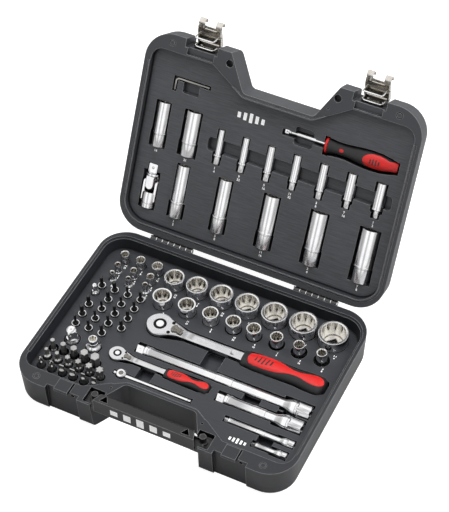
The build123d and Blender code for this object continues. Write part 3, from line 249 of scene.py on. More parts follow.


# the light edge colours given to these plastics are painted highlights along the rims, and the crevice distances
# paint shade into crevices
MAT = {
    "case_plastic": plastic("case_shell_plastic", (0.018, 0.019, 0.0225), rough=0.36, grain=1300, bump=0.22,
                            spec=0.45,
                            edge=0.0008, edge_highlight=((0.22, 0.225, 0.235), 0.0015), deep=0.008),
    "lid_plastic": plastic("lid_shell_plastic", (0.034, 0.036, 0.041), rough=0.45, grain=1300, bump=0.22,
                           spec=0.6,
                           edge=0.0008, edge_highlight=((0.25, 0.255, 0.265), 0.0015), deep=0.007),
    "tray_plastic": plastic("tray_plastic", (0.023, 0.025, 0.030), rough=0.45, grain=420, bump=0.10,
                            vary=0.30, spec=0.6,
                            streak=(0.08, 1.6, 1.6), edge_highlight=((0.19, 0.192, 0.198), 0.0010), deep=0.006),
    "lid_tray_plastic": plastic("lid_tray_plastic", (0.066, 0.069, 0.076), rough=0.5, grain=420, bump=0.10,
                                streak=(0.11, 1.9, 1.9), vary=0.50, edge_highlight=((0.26, 0.262, 0.27), 0.0010),
                                deep=0.005),
    "handle_plastic": plastic("handle_plastic", (0.013, 0.013, 0.014), rough=0.35, grain=1500, bump=0.12,
                              edge=0.0009,
                              edge_highlight=((0.20, 0.202, 0.205), 0.0015), deep=0.008),
    "hinge_steel": metal("hinge_black", (0.10, 0.10, 0.10), rough=0.35),
    "latch_nickel": metal("latch_nickel", (0.74, 0.71, 0.66), rough=0.26, scratch=(200, 30, 30), bump=0.02,
                          dirt=(0.62, 0.59, 0.54)),
    "latch_dark": metal("latch_dark", (0.16, 0.155, 0.145), rough=0.34, scratch=(60, 60, 60),
                        dirt=(0.09, 0.085, 0.08)),
    "latch_wire": metal("latch_wire", (0.86, 0.86, 0.86), rough=0.18, dirt=(0.78, 0.78, 0.78)),
    "tool_chrome": metal("tool_chrome", (0.80, 0.80, 0.81), rough=0.17, scratch=(6, 6, 18), bump=0,
                         spread=0.15, edge=0,
                         dirt=(0.74, 0.74, 0.75)),
    "lever_steel": metal("lever_steel", (0.24, 0.225, 0.20), rough=0.3, bump=0),
    "grip_rubber": plastic("grip_rubber", (0.010, 0.010, 0.011), rough=0.5, grain=2200, bump=0.2),
    "red_plastic": plastic("red_plastic", (0.62, 0.012, 0.010), rough=0.30, grain=1200, bump=0.06),
    "bit_steel": metal("bit_steel", (0.52, 0.52, 0.51), rough=0.36, bump=0, edge=0, dirt=(0.40, 0.39, 0.38)),
    # painted shade: a darker copy of the chrome for the small sockets, whose sides reflect the dark tray
    "shaded_small_chrome": metal("small_socket_shaded_chrome", (0.66, 0.66, 0.67), rough=0.15, scratch=(6, 6, 18), bump=0,
                          spread=0.1, edge=0,
                          dirt=(0.60, 0.60, 0.61)),
    "black_steel": metal("black_steel", (0.05, 0.05, 0.05), rough=0.4),
    "socket_inner": metal("socket_inner", (0.84, 0.82, 0.78), rough=0.24, scratch=(8, 8, 8), bump=0, edge=0),
    "ratchet_steel": metal("ratchet_satin_chrome", (0.64, 0.64, 0.65), rough=0.22, scratch=(2, 12, 12),
                           bump=0, spread=0.15, edge=0,
                           dirt=(0.58, 0.58, 0.59)),
    "bit_collar": metal("bit_collar_dark", (0.30, 0.30, 0.30), rough=0.22, dirt=(0.16, 0.16, 0.16)),
    "bit_black": metal("bit_black", (0.07, 0.07, 0.07), rough=0.3),
    "key_steel": metal("key_steel", (0.34, 0.33, 0.31), rough=0.26),
    "screw_black": plastic("screw_black", (0.006, 0.006, 0.006), rough=0.5, edge=0, spec=0.2),
    "mark_dark": plastic("mark_dark", (0.02, 0.018, 0.018), rough=0.5, edge=0),
    "mark_white": plastic("mark_white", (0.88, 0.88, 0.87), rough=0.5, edge=0, vary=0.04),
}
# painted light: the white marks glow a little so they stay white in the weak front light
painted_glow_inputs = MAT["mark_white"].node_tree.nodes["Principled BSDF"].inputs
painted_glow_inputs["Emission Color"].default_value = (1, 1, 1, 1)
painted_glow_inputs["Emission Strength"].default_value = 0.22
SLOT_OF = {s["node"]: s["material_slot"] for s in frame["record"]["subparts"]}
for name, obj in NODES.items():
    obj.data.materials.clear()
    obj.data.materials.append(MAT[SLOT_OF[name]])
NODES["lid_shell"].data.materials[0] = MAT["lid_plastic"]
NODES["lid_tray"].data.materials[0] = MAT["lid_tray_plastic"]


# ---------------------------------------------------------------- mesh helpers (all in mm until made)
def sharpen(me, angle=32.0):
    bm = bmesh.new()
    bm.from_mesh(me)
    bmesh.ops.recalc_face_normals(bm, faces=bm.faces)
    lim = math.radians(angle)
    for f in bm.faces:
        f.smooth = True
    for e in bm.edges:
        e.smooth = not (len(e.link_faces) == 2 and e.calc_face_angle(0) > lim)
    bm.to_mesh(me)
    bm.free()


class Shell:
    """Collects closed shells of rings (lists of equal numbers of points) with a material index each."""

    def __init__(self):
        self.verts, self.faces, self.mats = [], [], []

    def loft(self, rings, mats=0, loop=False):
        """Joins the rings in order and caps an open run. mats: one index, or one for each ring."""
        base, n, k = len(self.verts), len(rings[0]), len(rings)
        mats = [mats] * k if isinstance(mats, int) else mats
        for r in rings:
            self.verts.extend(tuple(p) for p in r)
        for i in range(k if loop else k - 1):
            a, b = base + i * n, base + ((i + 1) % k) * n
            for j in range(n):
                q = (j + 1) % n
                self.faces.append((a + j, a + q, b + q, b + j))
                self.mats.append(mats[i])
        if not loop:
            self.faces.append(tuple(base + j for j in reversed(range(n))))
            self.faces.append(tuple(base + (k - 1) * n + j for j in range(n)))
            self.mats += [mats[0], mats[-1]]
        return self

    def transform(self, m, start=0):
        for i in range(start, len(self.verts)):
            self.verts[i] = tuple(m @ Vector(self.verts[i]))

    def make(self, name, materials, body, lid=False, replaces=(), slot=None, angle=32.0):
        me = bpy.data.meshes.new(name)
        me.from_pydata([tuple(c * MM for c in v) for v in self.verts], [], self.faces)
        for mt in materials:
            me.materials.append(mt)
        for p, mi in zip(me.polygons, self.mats):
            p.material_index = mi
        me.update()
        if lid:
            me.transform(OPENED)
        sharpen(me, angle)
        o = link(name, me)
        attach(o, body)
        if replaces:
            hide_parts(*replaces)
        return o


def polar(rfun, z, n):
    """n points at height z, each at the radius that rfun gives for its angle."""
    turns = [2 * math.pi * j / n for j in range(n)]
    return [(rfun(t) * math.cos(t), rfun(t) * math.sin(t), z) for t in turns]


def circle(r, z, n):
    return polar(lambda t: r, z, n)


def hexa(a, off=0.0, sides=6):
    step = 2 * math.pi / sides

    def f(t):
        u = (t + off) % step - step / 2
        return a / math.cos(u)
    return f


def star12(a):
    f, g = hexa(a), hexa(a, math.pi / 6)
    return lambda t: max(f(t), g(t))


def socket(shell, m, od, base, h, af, drive, split=0.36, depth=0.5, ring=0.0, points=12, n=96):
    """A socket standing on z = 0, drive end down. Material 0 outside, 1 inside."""
    start = len(shell.verts)
    r, rb = od / 2, base / 2
    hw = h * split
    mouth = star12(af / 2) if points == 12 else hexa(af / 2)
    corner = af / 2 / math.cos(math.radians(15 if points == 12 else 30))
    flare = min(corner + 0.8, r - 0.4)
    zf = h - h * depth
    led = min(af * 0.43, r - 1.2)
    hole = hexa(drive / 2, 0, 4)
    rings, mats = [], []

    def put(ringp, mat=0):
        rings.append(ringp)
        mats.append(mat)

    put(polar(lambda t: hole(t) + 0.5, 0, n))
    put(circle(rb - 0.7, 0, n))
    put(circle(rb - 0.15, 0.25, n))
    put(circle(rb, 0.9, n))
    if points == 6 or ring:
        put(circle(rb, hw - 2.0, n))
        put(circle(rb - 0.5, hw - 1.6, n))
        put(circle(rb - 0.5, hw - 0.9, n))
    put(circle(rb, hw - 0.5, n))
    if ring:
        put(circle(rb, hw - 0.1, n))
        put(circle(ring / 2 - 0.25, hw, n))
        put(circle(ring / 2, hw + 0.3, n))
        put(circle(ring / 2, hw + 1.7, n))
        put(circle(ring / 2 - 0.3, hw + 2.1, n))
        put(circle(r, hw + 2.4, n))
    elif abs(r - rb) > 0.2:
        put(circle(rb, hw, n))
        put(circle(r, hw + abs(r - rb) * 0.8 + 0.3, n))
    else:
        put(circle(r, hw, n))
    put(circle(r, h - 0.8, n))
    put(circle(r - 0.3, h - 0.15, n))
    put(circle(min(r - 0.4, flare + 0.7) if r - 0.4 > flare + 0.1 else (r + flare) / 2, h, n), 1)
    put(circle(flare, h - 0.25, n), 1)
    put(polar(mouth, h - 0.25 - (flare - af / 2) * 0.9, n), 1)
    put(polar(mouth, zf, n), 1)
    put(circle(led + 0.3, zf - 0.1, n), 1)
    put(circle(led, zf - 0.6, n), 1)
    put(circle(led * 0.96, zf - 2.2, n), 1)
    put(polar(lambda t: min(hole(t) + 0.6, led * 0.93), zf - 2.4, n), 1)
    put(polar(lambda t: min(hole(t), led * 0.92), zf - 3.0, n), 1)
    put(polar(lambda t: min(hole(t), led * 0.92) if drive < base * 0.6 else hole(t), 0.6, n), 1)
    shell.loft(rings, mats, loop=True)
    shell.transform(m, start)


def upright(lo, hi):
    cx, cy, _ = middle(lo, hi)
    return Matrix.Translation((cx, cy, lo[2]))


def along_y(lo, hi):
    """Drive end at high y, mouth towards low y, in the lid's closed frame."""
    cx, _, cz = middle(lo, hi)
    return Matrix.Translation((cx, hi[1], cz)) @ Matrix.Rotation(math.pi / 2, 4, "X")


# ---------------------------------------------------------------- sockets
CHROME, INNER = MAT["tool_chrome"], MAT["socket_inner"]


def socket_row(node, body, drive, afs, lid=False, split=0.36, depth=0.5, base=None, ring=False, points=12,
               n=96):
    sh = Shell()
    for (lo, hi), af in zip(islands(node, lid), afs):
        size = hi - lo
        if lid:
            m, h, wide = along_y(lo, hi), size[1], size[0]
        else:
            m, h, wide = upright(lo, hi), size[2], size[0]
        od, bd, rg = base(wide, af) if base else (wide, wide, 0.0)
        socket(sh, m, od, bd, h, af, drive, split, depth, rg if ring else 0.0, points, n)
    # painted shade: the quarter-inch sockets get the darker chrome copy, for sides that reflect the dark tray
    skin = MAT["shaded_small_chrome"] if node == "quarter_inch_sockets" else CHROME
    return sh.make(node + "_detailed", [skin, INNER], body, lid, [node], "tool_chrome")


HALF, QUARTER = 12.8, 6.4
socket_row("half_inch_sockets_back_row", "back_sockets", HALF, [20.6, 22.2, 23.8, 25.4, 27.0, 28.6, 31.75])
socket_row("half_inch_sockets_front_row", "front_sockets", HALF, [19.05, 17.5, 15.9, 15.1, 14.3, 12.7, 11.1,
                                                                  9.5],
           base=lambda w, af: (max(af * 1.43, 14.8) if af < 17 else w, w, 0))
socket_row("quarter_inch_sockets", "quarter_sockets", QUARTER, [4.0, 4.8, 5.6, 6.35, 7.1, 7.9, 8.7, 9.5,
                                                                11.1],
           split=0.42, base=lambda w, af: (max(af * 1.46, 7.6), w, 0), n=72)
socket_row("half_inch_deep_sockets", "deep_sockets", HALF, [12.7, 15.9, 17.5, 19.05, 22.2], True, 0.29, 0.42,
           base=lambda w, af: (w if w > 23 else w - 1.6, w - 1.6 if w > 24.5 else w - 0.4, w + 1.2),
           ring=True, n=96)
socket_row("spark_plug_sockets", "spark_sockets", HALF, [16.0, 20.8], True, 0.30, 0.55, points=6, n=96,
           base=lambda w, af: (w, w - 1.0, w + 1.4), ring=True)
socket_row("quarter_inch_deep_sockets", "deep_quarter_sockets", QUARTER, [6.35, 7.1, 7.9, 8.7, 9.5, 11.1,
                                                                          12.7],
           True, 0.24, 0.5, ring=True, n=96,
           base=lambda w, af: (min(w - 0.4, af * 1.16 + 2.2), 9.6, w + 0.8))


# ---------------------------------------------------------------- turned pieces
def along_x(p):
    """From +Z to +X, starting at p."""
    return Matrix.Translation(p) @ Matrix.Rotation(math.pi / 2, 4, "Y")


def square(a):
    return hexa(a, 0, 4)


def flat(a):
    """A square with its faces square to the local axes."""
    return hexa(a, math.pi / 4, 4)


def both(f, g):
    """The smaller of two plan shapes: flats cut on a round."""
    return lambda t: min(f(t), g if isinstance(g, (int, float)) else g(t))


def lathe(sh, m, prof, n=72, mats=0):
    """prof: (distance, radius or plan shape) along the axis of m."""
    start = len(sh.verts)
    sh.loft([polar(r, z, n) if callable(r) else circle(r, z, n) for z, r in prof], mats)
    sh.transform(m, start)


def ball(sh, p, r, down=False, n=20):
    """The part of a ball that stands out of a face at p, or out of its underside if down."""
    start = len(sh.verts)
    tilts = [math.radians(v) for v in (-60, -30, 0, 20, 40, 60, 78)]
    sh.loft([circle(r * math.cos(a), r * math.sin(a), n) for a in tilts])
    sh.transform(Matrix.Translation(p) @ Matrix.Scale(-1 if down else 1, 4, (0, 0, 1)), start)


# ---------------------------------------------------------------- ratchets
def ease(t, start, slope0, end, slope1):
    """Cubic from start to end for t from 0 to 1, with the given slopes at its ends."""
    return ((2 * t ** 3 - 3 * t ** 2 + 1) * start + (t ** 3 - 2 * t ** 2 + t) * slope0
            + (-2 * t ** 3 + 3 * t ** 2) * end + (t ** 3 - t ** 2) * slope1)


def smooth_through(table):
    """A function of x that runs smoothly through the (x, y) pairs, with no overshoot."""
    xs, ys = zip(*table)

    def slope(k):
        if k == 0 or k == len(xs) - 1:
            return 0.0
        a = (ys[k] - ys[k - 1]) / (xs[k] - xs[k - 1])
        b = (ys[k + 1] - ys[k]) / (xs[k + 1] - xs[k])
        return 0.0 if a * b <= 0 else 2 * a * b / (a + b)

    def f(x):
        if x <= xs[0]:
            return ys[0]
        for i in range(1, len(xs)):
            if x <= xs[i]:
                h = xs[i] - xs[i - 1]
                return ease((x - xs[i - 1]) / h, ys[i - 1], slope(i - 1) * h, ys[i], slope(i) * h)
        return ys[-1]
    return f


def arc_pts(cy, cz, r, a0, a1, k=4):
    return [(cy + r * math.cos(a0 + (a1 - a0) * i / k), cz + r * math.sin(a0 + (a1 - a0) * i / k))
            for i in range(k + 1)]


def bar_section(w, t, b, c, groove, lip):
    """Rounded-rectangle section with an optional sunk panel on top: points (y, z)."""
    c = min(c, w * 0.7, (t - b) * 0.45)
    li = min(lip, w * 0.35)
    p = [(-(w - li) * 0.96, t - groove), (-(w - li), t)]
    p += arc_pts(-(w - c), t - c, c, math.pi / 2, math.pi)
    p += arc_pts(-(w - c), b + c, c, math.pi, 1.5 * math.pi)
    p += arc_pts(w - c, b + c, c, 1.5 * math.pi, 2 * math.pi)
    p += arc_pts(w - c, t - c, c, 0, math.pi / 2)
    p += [((w - li), t), ((w - li) * 0.96, t - groove)]
    return p


def cut(obj, cutters):
    """Boolean difference, applied."""
    tmp = []
    for sh in cutters:
        me = bpy.data.meshes.new("cutter")
        me.from_pydata([tuple(c * MM for c in v) for v in sh.verts], [], sh.faces)
        bm = bmesh.new()
        bm.from_mesh(me)
        bmesh.ops.recalc_face_normals(bm, faces=bm.faces)
        bm.to_mesh(me)
        bm.free()
        c = link("cutter", me)
        tmp.append(c)
        mod = obj.modifiers.new("cut", "BOOLEAN")
        mod.operation = "DIFFERENCE"
        mod.solver = "EXACT"
        mod.object = c
    bpy.context.view_layer.update()
    dg = bpy.context.evaluated_depsgraph_get()
    me = bpy.data.meshes.new_from_object(obj.evaluated_get(dg), depsgraph=dg)
    obj.modifiers.clear()
    obj.data = me
    sharpen(me)
    for c in tmp:
        bpy.data.objects.remove(c)


def cyl(x, y, z0, z1, r, n=64):
    return Shell().loft([[(x + p[0], y + p[1], z) for p in circle(r, 0, n)] for z in (z0, z1)])


def ratchet(size, k):
    """k scales the large ratchet's proportions to the small one."""
    lo, hi = box_mm(size + "_ratchet_body")
    blo, bhi = box_mm(size + "_ratchet_button")
    drive_end = box_mm(size + "_ratchet_drive")[0].z
    glo, ghi = box_mm(size + "_ratchet_grip")
    hx, hy, top = (blo.x + bhi.x) / 2, (blo.y + bhi.y) / 2, hi.z
    R = (hi.y - lo.y) / 2
    thick = hi.z - lo.z
    neck_w = 7.0 * k
    phi = math.radians(30)
    xt, wt = R * math.sin(phi), R * math.cos(phi)
    x_end = glo.x - hx + 6 * k

    def width(x):
        if x <= xt:
            return math.sqrt(max(R * R - x * x, 0.0))
        x1 = 42 * k
        if x < x1:
            t = (x - xt) / (x1 - xt)
            return ease(t, wt, -math.tan(phi) * (x1 - xt), neck_w, -0.04 * (x1 - xt))
        return neck_w - 0.4 * k * math.sin(min(1.0, (x - x1) / (x_end - x1)) * math.pi)

    ztop = smooth_through([(-R, 0), (26 * k, 0), (31 * k, -0.9 * k), (40 * k, -2.6 * k), (60 * k, -3.0 * k),
                           (200, -3.0 * k)])
    zbot = smooth_through([(-R, -thick), (24 * k, -thick), (44 * k, -thick + 3.4 * k),
                           (200, -thick + 3.4 * k)])
    gr = smooth_through([(44 * k, 0), (50 * k, 0.7 * k), (104 * k, 0.7 * k), (110 * k, 0), (200, 0)])
    xs = [-R * math.cos(math.pi / 2 * i / 18) for i in range(18)] + [R * 0.5 * i / 8 for i in range(8)]
    xs = sorted(set([round(v, 4) for v in xs] + [xt + (x_end - xt) * i / 44 for i in range(45)]))
    xs[0] = -R + 0.01
    sh = Shell()
    rings = []
    for x in xs:
        w = max(width(x), 0.35)
        rings.append([(hx + x, hy + y, top + z) for y, z in
                      bar_section(w, ztop(x), zbot(x), 1.7 * k, gr(x), 2.6 * k)])
    sh.loft(rings)
    body = sh.make(size + "_ratchet_steel", [MAT["ratchet_steel"]], size + "_ratchet",
                   replaces=[size + "_ratchet_body"],
                   slot="tool_chrome")
    lev_lo, lev_hi = box_mm(size + "_ratchet_lever")
    lx = JOINTS[size + "_direction"]["pos_m"][0] * 1000
    rp = 8.9 * k
    cut(body, [cyl(hx, hy, top - thick - 3, top + 3, rp + 0.25), cyl(lx, hy, top - 3.4 * k, top + 3,
                                                                     5.9 * k)])
    # two small black screws beside the lever
    for s in (-1, 1):
        sc = Shell()
        lathe(sc, Matrix.Translation((hx + 16.6 * k, hy + s * 8.6 * k, top - 1.0)),
              [(0, 2.5 * k), (1.3, 2.5 * k), (1.5, 2.2 * k), (1.5, 1.2 * k), (1.2, 0.9 * k)], 24)
        sc.make("%s_ratchet_screw_%s" % (size, "front" if s < 0 else "rear"), [MAT["screw_black"]],
                size + "_ratchet",
                slot="black_steel")
    # square drive: black ring on top, square below
    d = Shell()
    n = 64
    sq = square((12.7 if size == "large" else 6.35) / 2)
    rb = 5.7 * k
    rr = [(rb, -thick + 0.1), (rb, 0.10), (rb + 0.25, 0.32 * k), (rp - 0.7 * k, 0.32 * k),
          (rp - 0.3 * k, 0.10), (rp, -0.5),
          (rp, -thick + 0.2)]
    rings = [[(hx + p[0], hy + p[1], top + z) for p in circle(r, 0, n)] for r, z in rr]
    d.loft(rings, mats=[1, 1, 1, 1, 1, 0, 0], loop=True)
    b0 = -thick + 0.15
    srings = []
    for g, z in ((1.0, b0), (1.0, drive_end - top + 1.2 * k), (0.86, drive_end - top)):
        srings.append([(hx + p[0] * g, hy + p[1] * g, top + z) for p in polar(sq, 0, n)])
    d.loft(srings)
    d.make(size + "_ratchet_square", [CHROME, MAT["screw_black"]], size + "_drive",
           replaces=[size + "_ratchet_drive"],
           slot="tool_chrome")
    # release button: low dome with a rim
    bt = Shell()
    br = rb - 0.25
    prof = [(br, -thick * 0.6), (br, 0.35 * k), (br - 0.3 * k, 0.6 * k), (br * 0.5, 0.66 * k),
            (br * 0.1, 0.68 * k)]
    bt.loft([[(hx + p[0], hy + p[1], top + z) for p in circle(r, 0, 48)] for r, z in prof])
    bt.make(size + "_ratchet_press", [CHROME], size + "_button", replaces=[size + "_ratchet_button"],
            slot="tool_chrome")
    # direction lever: a disc with a winged tab
    tab = math.atan2((lev_hi.y + lev_lo.y) / 2 - hy, (lev_hi.x + lev_lo.x) / 2 - lx)

    def lever_r(t):
        u = (t - tab + math.pi) % (2 * math.pi) - math.pi
        r = 5.4
        if abs(u) < math.radians(38):
            r = min(11.8 / max(math.cos(u), 0.1), 4.3 / max(abs(math.sin(u)), 1e-3), 13.0)
            r = max(r, 5.4)
        elif abs(abs(u) - math.radians(115)) < math.radians(26):
            r = 6.4
        return r * k
    lv = Shell()
    n = 120
    lr = []
    for g, z in ((0.55, -2.6), (0.98, -0.4), (1.0, 0.15), (1.0, 1.5), (0.93, 2.1), (0.55, 2.3), (0.3, 2.0)):
        if z < 0.2:
            pts = circle(5.5 * k * (0.9 if z < 0 else 1), 0, n)
        else:
            pts = [(p[0] * g, p[1] * g) for p in polar(lever_r, 0, n)]
        lr.append([(lx + p[0], hy + p[1], top + z * k) for p in pts])
    lv.loft(lr)
    lv.make(size + "_ratchet_switch", [MAT["lever_steel"]], size + "_direction_lever",
            replaces=[size + "_ratchet_lever"],
            slot="lever_steel", angle=40)
    grip_and_inlay(size, k, glo, ghi, hy)


def superellipse(w, h, e, n):
    out = []
    for j in range(n):
        t = 2 * math.pi * j / n
        c, s = math.cos(t), math.sin(t)
        out.append((w * math.copysign(abs(c) ** (2 / e), c), h * math.copysign(abs(s) ** (2 / e), s)))
    return out


def grip_and_inlay(size, k, glo, ghi, hy):
    length = ghi.x - glo.x
    f = length / 121.0
    cz = (glo.z + ghi.z) / 2
    hw = (ghi.y - glo.y) / 2 / 15.5
    hh = (ghi.z - glo.z) / 2 / 13.0
    W = smooth_through([(0, 10.8), (0.8, 12.4), (3.5, 13.0), (5.5, 12.6), (7, 12.2), (12, 12.9), (25, 14.0),
                        (42, 14.2),
                    (58, 13.0), (74, 12.2), (90, 13.4), (104, 15.2), (112, 15.2), (117, 12.8), (119.6, 9.0),
                        (121, 4.0)])
    H = smooth_through([(0, 8.5), (0.8, 10.2), (3.5, 10.8), (5.5, 10.4), (7, 10.2), (12, 10.9), (25, 12.2),
                        (42, 12.8),
                    (58, 12.3), (74, 11.6), (90, 12.0), (104, 12.8), (112, 12.3), (117, 9.8), (119.6, 6.8),
                        (121, 3.0)])
    st = [0, 0.4, 0.8, 2, 3.5, 5, 5.5, 6.2, 7, 9] + list(range(12, 117, 3)) + [117, 118.5, 119.6, 120.5, 121]
    n = 64
    E = 2.5
    sh = Shell()
    rings = []
    for s in st:
        pts = superellipse(W(s) * hw, H(s) * hh, E, n)
        rings.append([(glo.x + s * f, hy + y, cz + z) for y, z in pts])
    sh.loft(rings)
    sh.make(size + "_ratchet_soft_grip", [MAT["grip_rubber"]], size + "_ratchet",
            replaces=[size + "_ratchet_grip"],
            slot="grip_rubber", angle=50)
    WI = smooth_through([(8, 0.8), (8.6, 4.6), (10, 7.2), (13, 9.0), (20, 10.2), (35, 10.6), (50, 9.4),
                         (60, 6.8), (68, 4.6),
                     (75, 3.8), (82, 4.0), (90, 5.6), (98, 7.4), (105, 8.2), (111, 7.4), (115, 4.8),
                         (116.6, 2.6), (117, 0.6)])
    st = [8, 8.2, 8.6, 9.2, 10, 11.5, 13] + list(range(16, 112, 2)) + [113, 115, 116, 116.6, 117]

    def surf(s, y):
        w, h = W(s) * hw, H(s) * hh
        u = min(abs(y) / w, 0.999)
        return cz + h * (1 - u ** E) ** (1 / E)
    sh = Shell()
    rings = []
    m = 12
    for s in st:
        wi = WI(s) * hw
        topside, under = [], []
        for i in range(m + 1):
            y = -wi + 2 * wi * i / m
            z = surf(s, y)
            edge = 0.12 if i in (0, m) else 0.42
            topside.append((glo.x + s * f, hy + y, z + edge * max(k, 0.7)))
            under.append((glo.x + s * f, hy + y * 0.98, z - 1.0))
        rings.append(topside + list(reversed(under)))
    sh.loft(rings)
    sh.make(size + "_ratchet_red_inlay", [MAT["red_plastic"]], size + "_ratchet",
            replaces=[size + "_ratchet_inlay"],
            slot="red_plastic", angle=50)
    # plain dark bars on the inlay, in place of lettering
    bars = Shell()
    for i, s in enumerate((20, 25.5, 31, 36.5, 42)):
        half = (3.6, 5.0, 6.0, 5.0, 3.6)[i] * hw
        rr = []
        for y in [-half + 2 * half * j / 6 for j in range(7)]:
            z = surf(s, y) + 0.42 * max(k, 0.7)
            x = glo.x + s * f + 0.25 * y
            b = 1.15 * f
            rr.append([(x - b, hy + y, z - 0.4), (x + b, hy + y, z - 0.4), (x + b, hy + y, z + 0.06),
                       (x - b, hy + y, z + 0.06)])
        bars.loft(rr)
    bars.make(size + "_ratchet_grip_bars", [MAT["mark_dark"]], size + "_ratchet", slot="grip_rubber")


ratchet("large", 1.0)
ratchet("small", 0.613)


def extension(node, sq, r, r_end, end_len, bands):
    lo, hi = box_mm(node)
    length = hi.x - lo.x
    cy, cz = (lo.y + hi.y) / 2, (lo.z + hi.z) / 2
    q, a = sq / 2, r / 7.0
    e0 = length - end_len
    prof = [(0, square(q * 0.84)), (0.10 * sq, square(q)), (0.86 * sq, square(q)),
            (0.9 * sq, square(q * 0.9)),
            (0.94 * sq, both(square(q * 1.02), q * 1.16)), (sq, r * 1.14), (sq + 3.4 * a, r * 1.16),
            (sq + 3.8 * a, r * 1.04),
            (sq + 4.8 * a, r * 1.04), (sq + 5.2 * a, r * 1.14), (sq + 8 * a, r * 1.12),
            (sq + 12 * a, r * 0.98)]
    for b0, b1 in bands:
        prof += [(b0 - 0.3, r * 0.98), (b0, r * 1.05), (b1, r * 1.05), (b1 + 0.3, r * 0.98)]
    prof += [(e0 - 13 * a, r * 0.98), (e0 - 9 * a, r * 1.06), (e0 - 3 * a, r_end * 0.90),
             (e0, r_end * 0.97), (e0 + 1.5 * a, r_end),
             (e0 + 6 * a, r_end), (e0 + 6.3 * a, r_end * 0.92), (e0 + 7.6 * a, r_end * 0.92),
             (e0 + 7.9 * a, r_end),
             (e0 + 9.2 * a, r_end)]
    six = both(hexa(r_end * 0.90, math.pi / 6), r_end * 0.99)
    prof += [(e0 + 9.9 * a, six), (length - 1.2 * a, six), (length - 0.4 * a, both(hexa(r_end * 0.87),
                                                                                   r_end * 0.93)),
             (length, r_end * 0.80), (length - 0.3 * a, q * 1.28), (length - 1.4 * a, square(q)),
             (length - 15 * a, square(q))]
    sh = Shell()
    lathe(sh, along_x((lo.x, cy, cz)), prof)
    ball(sh, (lo.x + sq * 0.46, cy, cz + q - 0.1), sq * 0.15)
    dimple = [circle(sq * 0.235, -0.3, 32), circle(sq * 0.235, 0.05, 32), circle(sq * 0.19, 0.05, 32),
              circle(sq * 0.17, -0.2, 32)]
    sh.loft([[(lo.x + sq * 0.46 + p[0], cy + p[1], cz + q + p[2]) for p in ring] for ring in dimple], 1)
    sh.make(node + "_detailed", [CHROME, MAT["lever_steel"]], node, replaces=[node], slot="tool_chrome")


extension("long_extension", 12.6, 7.3, 11.3, 28, [(118, 142)])
extension("short_extension", 12.6, 7.3, 11.3, 28, [(52, 70)])
extension("long_quarter_extension", 6.3, 3.9, 6.05, 14, [(46, 58)])
extension("short_quarter_extension", 6.3, 3.9, 6.05, 12, [])

# sliding T-bar: rod with stepped ends, and a round head with a square below
rlo, rhi = box_mm("t_bar_rod")
hlo, hhi = box_mm("t_bar_head")
ry, rz, rl = (rlo.y + rhi.y) / 2, (rlo.z + rhi.z) / 2, rhi.x - rlo.x
rod = Shell()
lathe(rod, along_x((rlo.x, ry, rz)), [(0, 1.9), (0.5, 2.6), (3.2, 2.7), (3.5, 2.2), (4.4, 2.2), (4.7, 2.9),
                                      (rl - 4.7, 2.9),
                                    (rl - 4.4, 2.2), (rl - 3.5, 2.2), (rl - 3.2, 2.7), (rl - 0.5, 2.6),
                                      (rl, 1.9)], 32)
rod.make("t_bar_rod_detailed", [CHROME], "t_bar", replaces=["t_bar_rod"], slot="tool_chrome")
head = Shell()
hx = (hlo.x + hhi.x) / 2
hh = hhi.z - hlo.z
lathe(head, Matrix.Translation((hx, ry, hlo.z)),
      [(0, square(2.7)), (0.8, square(3.15)), (6.3, square(3.15)), (6.5, 5.2), (7.2, 6.4), (9.0, 6.6),
       (9.4, 6.0), (10.4, 6.0),
       (10.8, 6.8), (hh - 1.6, 6.95), (hh - 0.5, 6.4), (hh - 0.1, 5.2), (hh - 0.1, 3.4), (hh - 0.6, 3.1),
       (hh - 0.6, 1.6),
       (hh - 0.9, 1.3)], 56, mats=[0] * 12 + [1] * 3)
head.make("t_bar_head_detailed", [CHROME, MAT["lever_steel"]], "t_bar", replaces=["t_bar_head"],
          slot="tool_chrome")


# ---------------------------------------------------------------- adaptors
def adaptor(node, body, sq_top, r, r_neck, z_shoulder, hole):
    lo, hi = box_mm(node)
    (cx, cy, _), h = middle(lo, hi), hi.z - lo.z
    q = sq_top / 2
    zs = z_shoulder
    f = r / 10.6
    sh = Shell()
    lathe(sh, Matrix.Translation((cx, cy, lo.z)),
          [(14 * f, square(hole / 2)), (0.6, square(hole / 2)), (0, hole * 0.62), (0, r * 0.9),
           (1.0 * f, r), (zs * 0.45, r),
           (zs * 0.45 + 0.3, r * 0.94), (zs * 0.45 + 1.3 * f, r * 0.94), (zs * 0.45 + 1.6 * f, r),
           (zs * 0.86, r), (zs, r * 0.95),
           (zs + 1.4 * f, r * 0.82), (zs + 2.6 * f, r_neck), (zs + 3.6 * f, r_neck * 0.94),
           (zs + 3.8 * f, both(square(q), q * 1.25)),
           (zs + 4.2 * f, square(q)), (h - 3.2 * f, square(q)), (h - 2.2 * f, both(square(q), q * 1.22)),
           (h - 0.9 * f, q * 1.04), (h - 0.25 * f, q * 0.8), (h, q * 0.4)], 72)
    ball(sh, (cx + 0.25 * q, cy - q + 0.1, lo.z + h - 6.5 * f), q * 0.28)
    ball(sh, (cx, cy, hi.z - 0.25), q * 0.22)
    sh.make(node + "_detailed", [CHROME], body, replaces=[node], slot="tool_chrome")


adaptor("half_inch_adaptor", "half_adaptor", 12.6, 10.6, 8.2, 17, 9.6)
adaptor("quarter_inch_adaptor", "quarter_adaptor", 6.3, 5.9, 4.3, 13, 6.4)

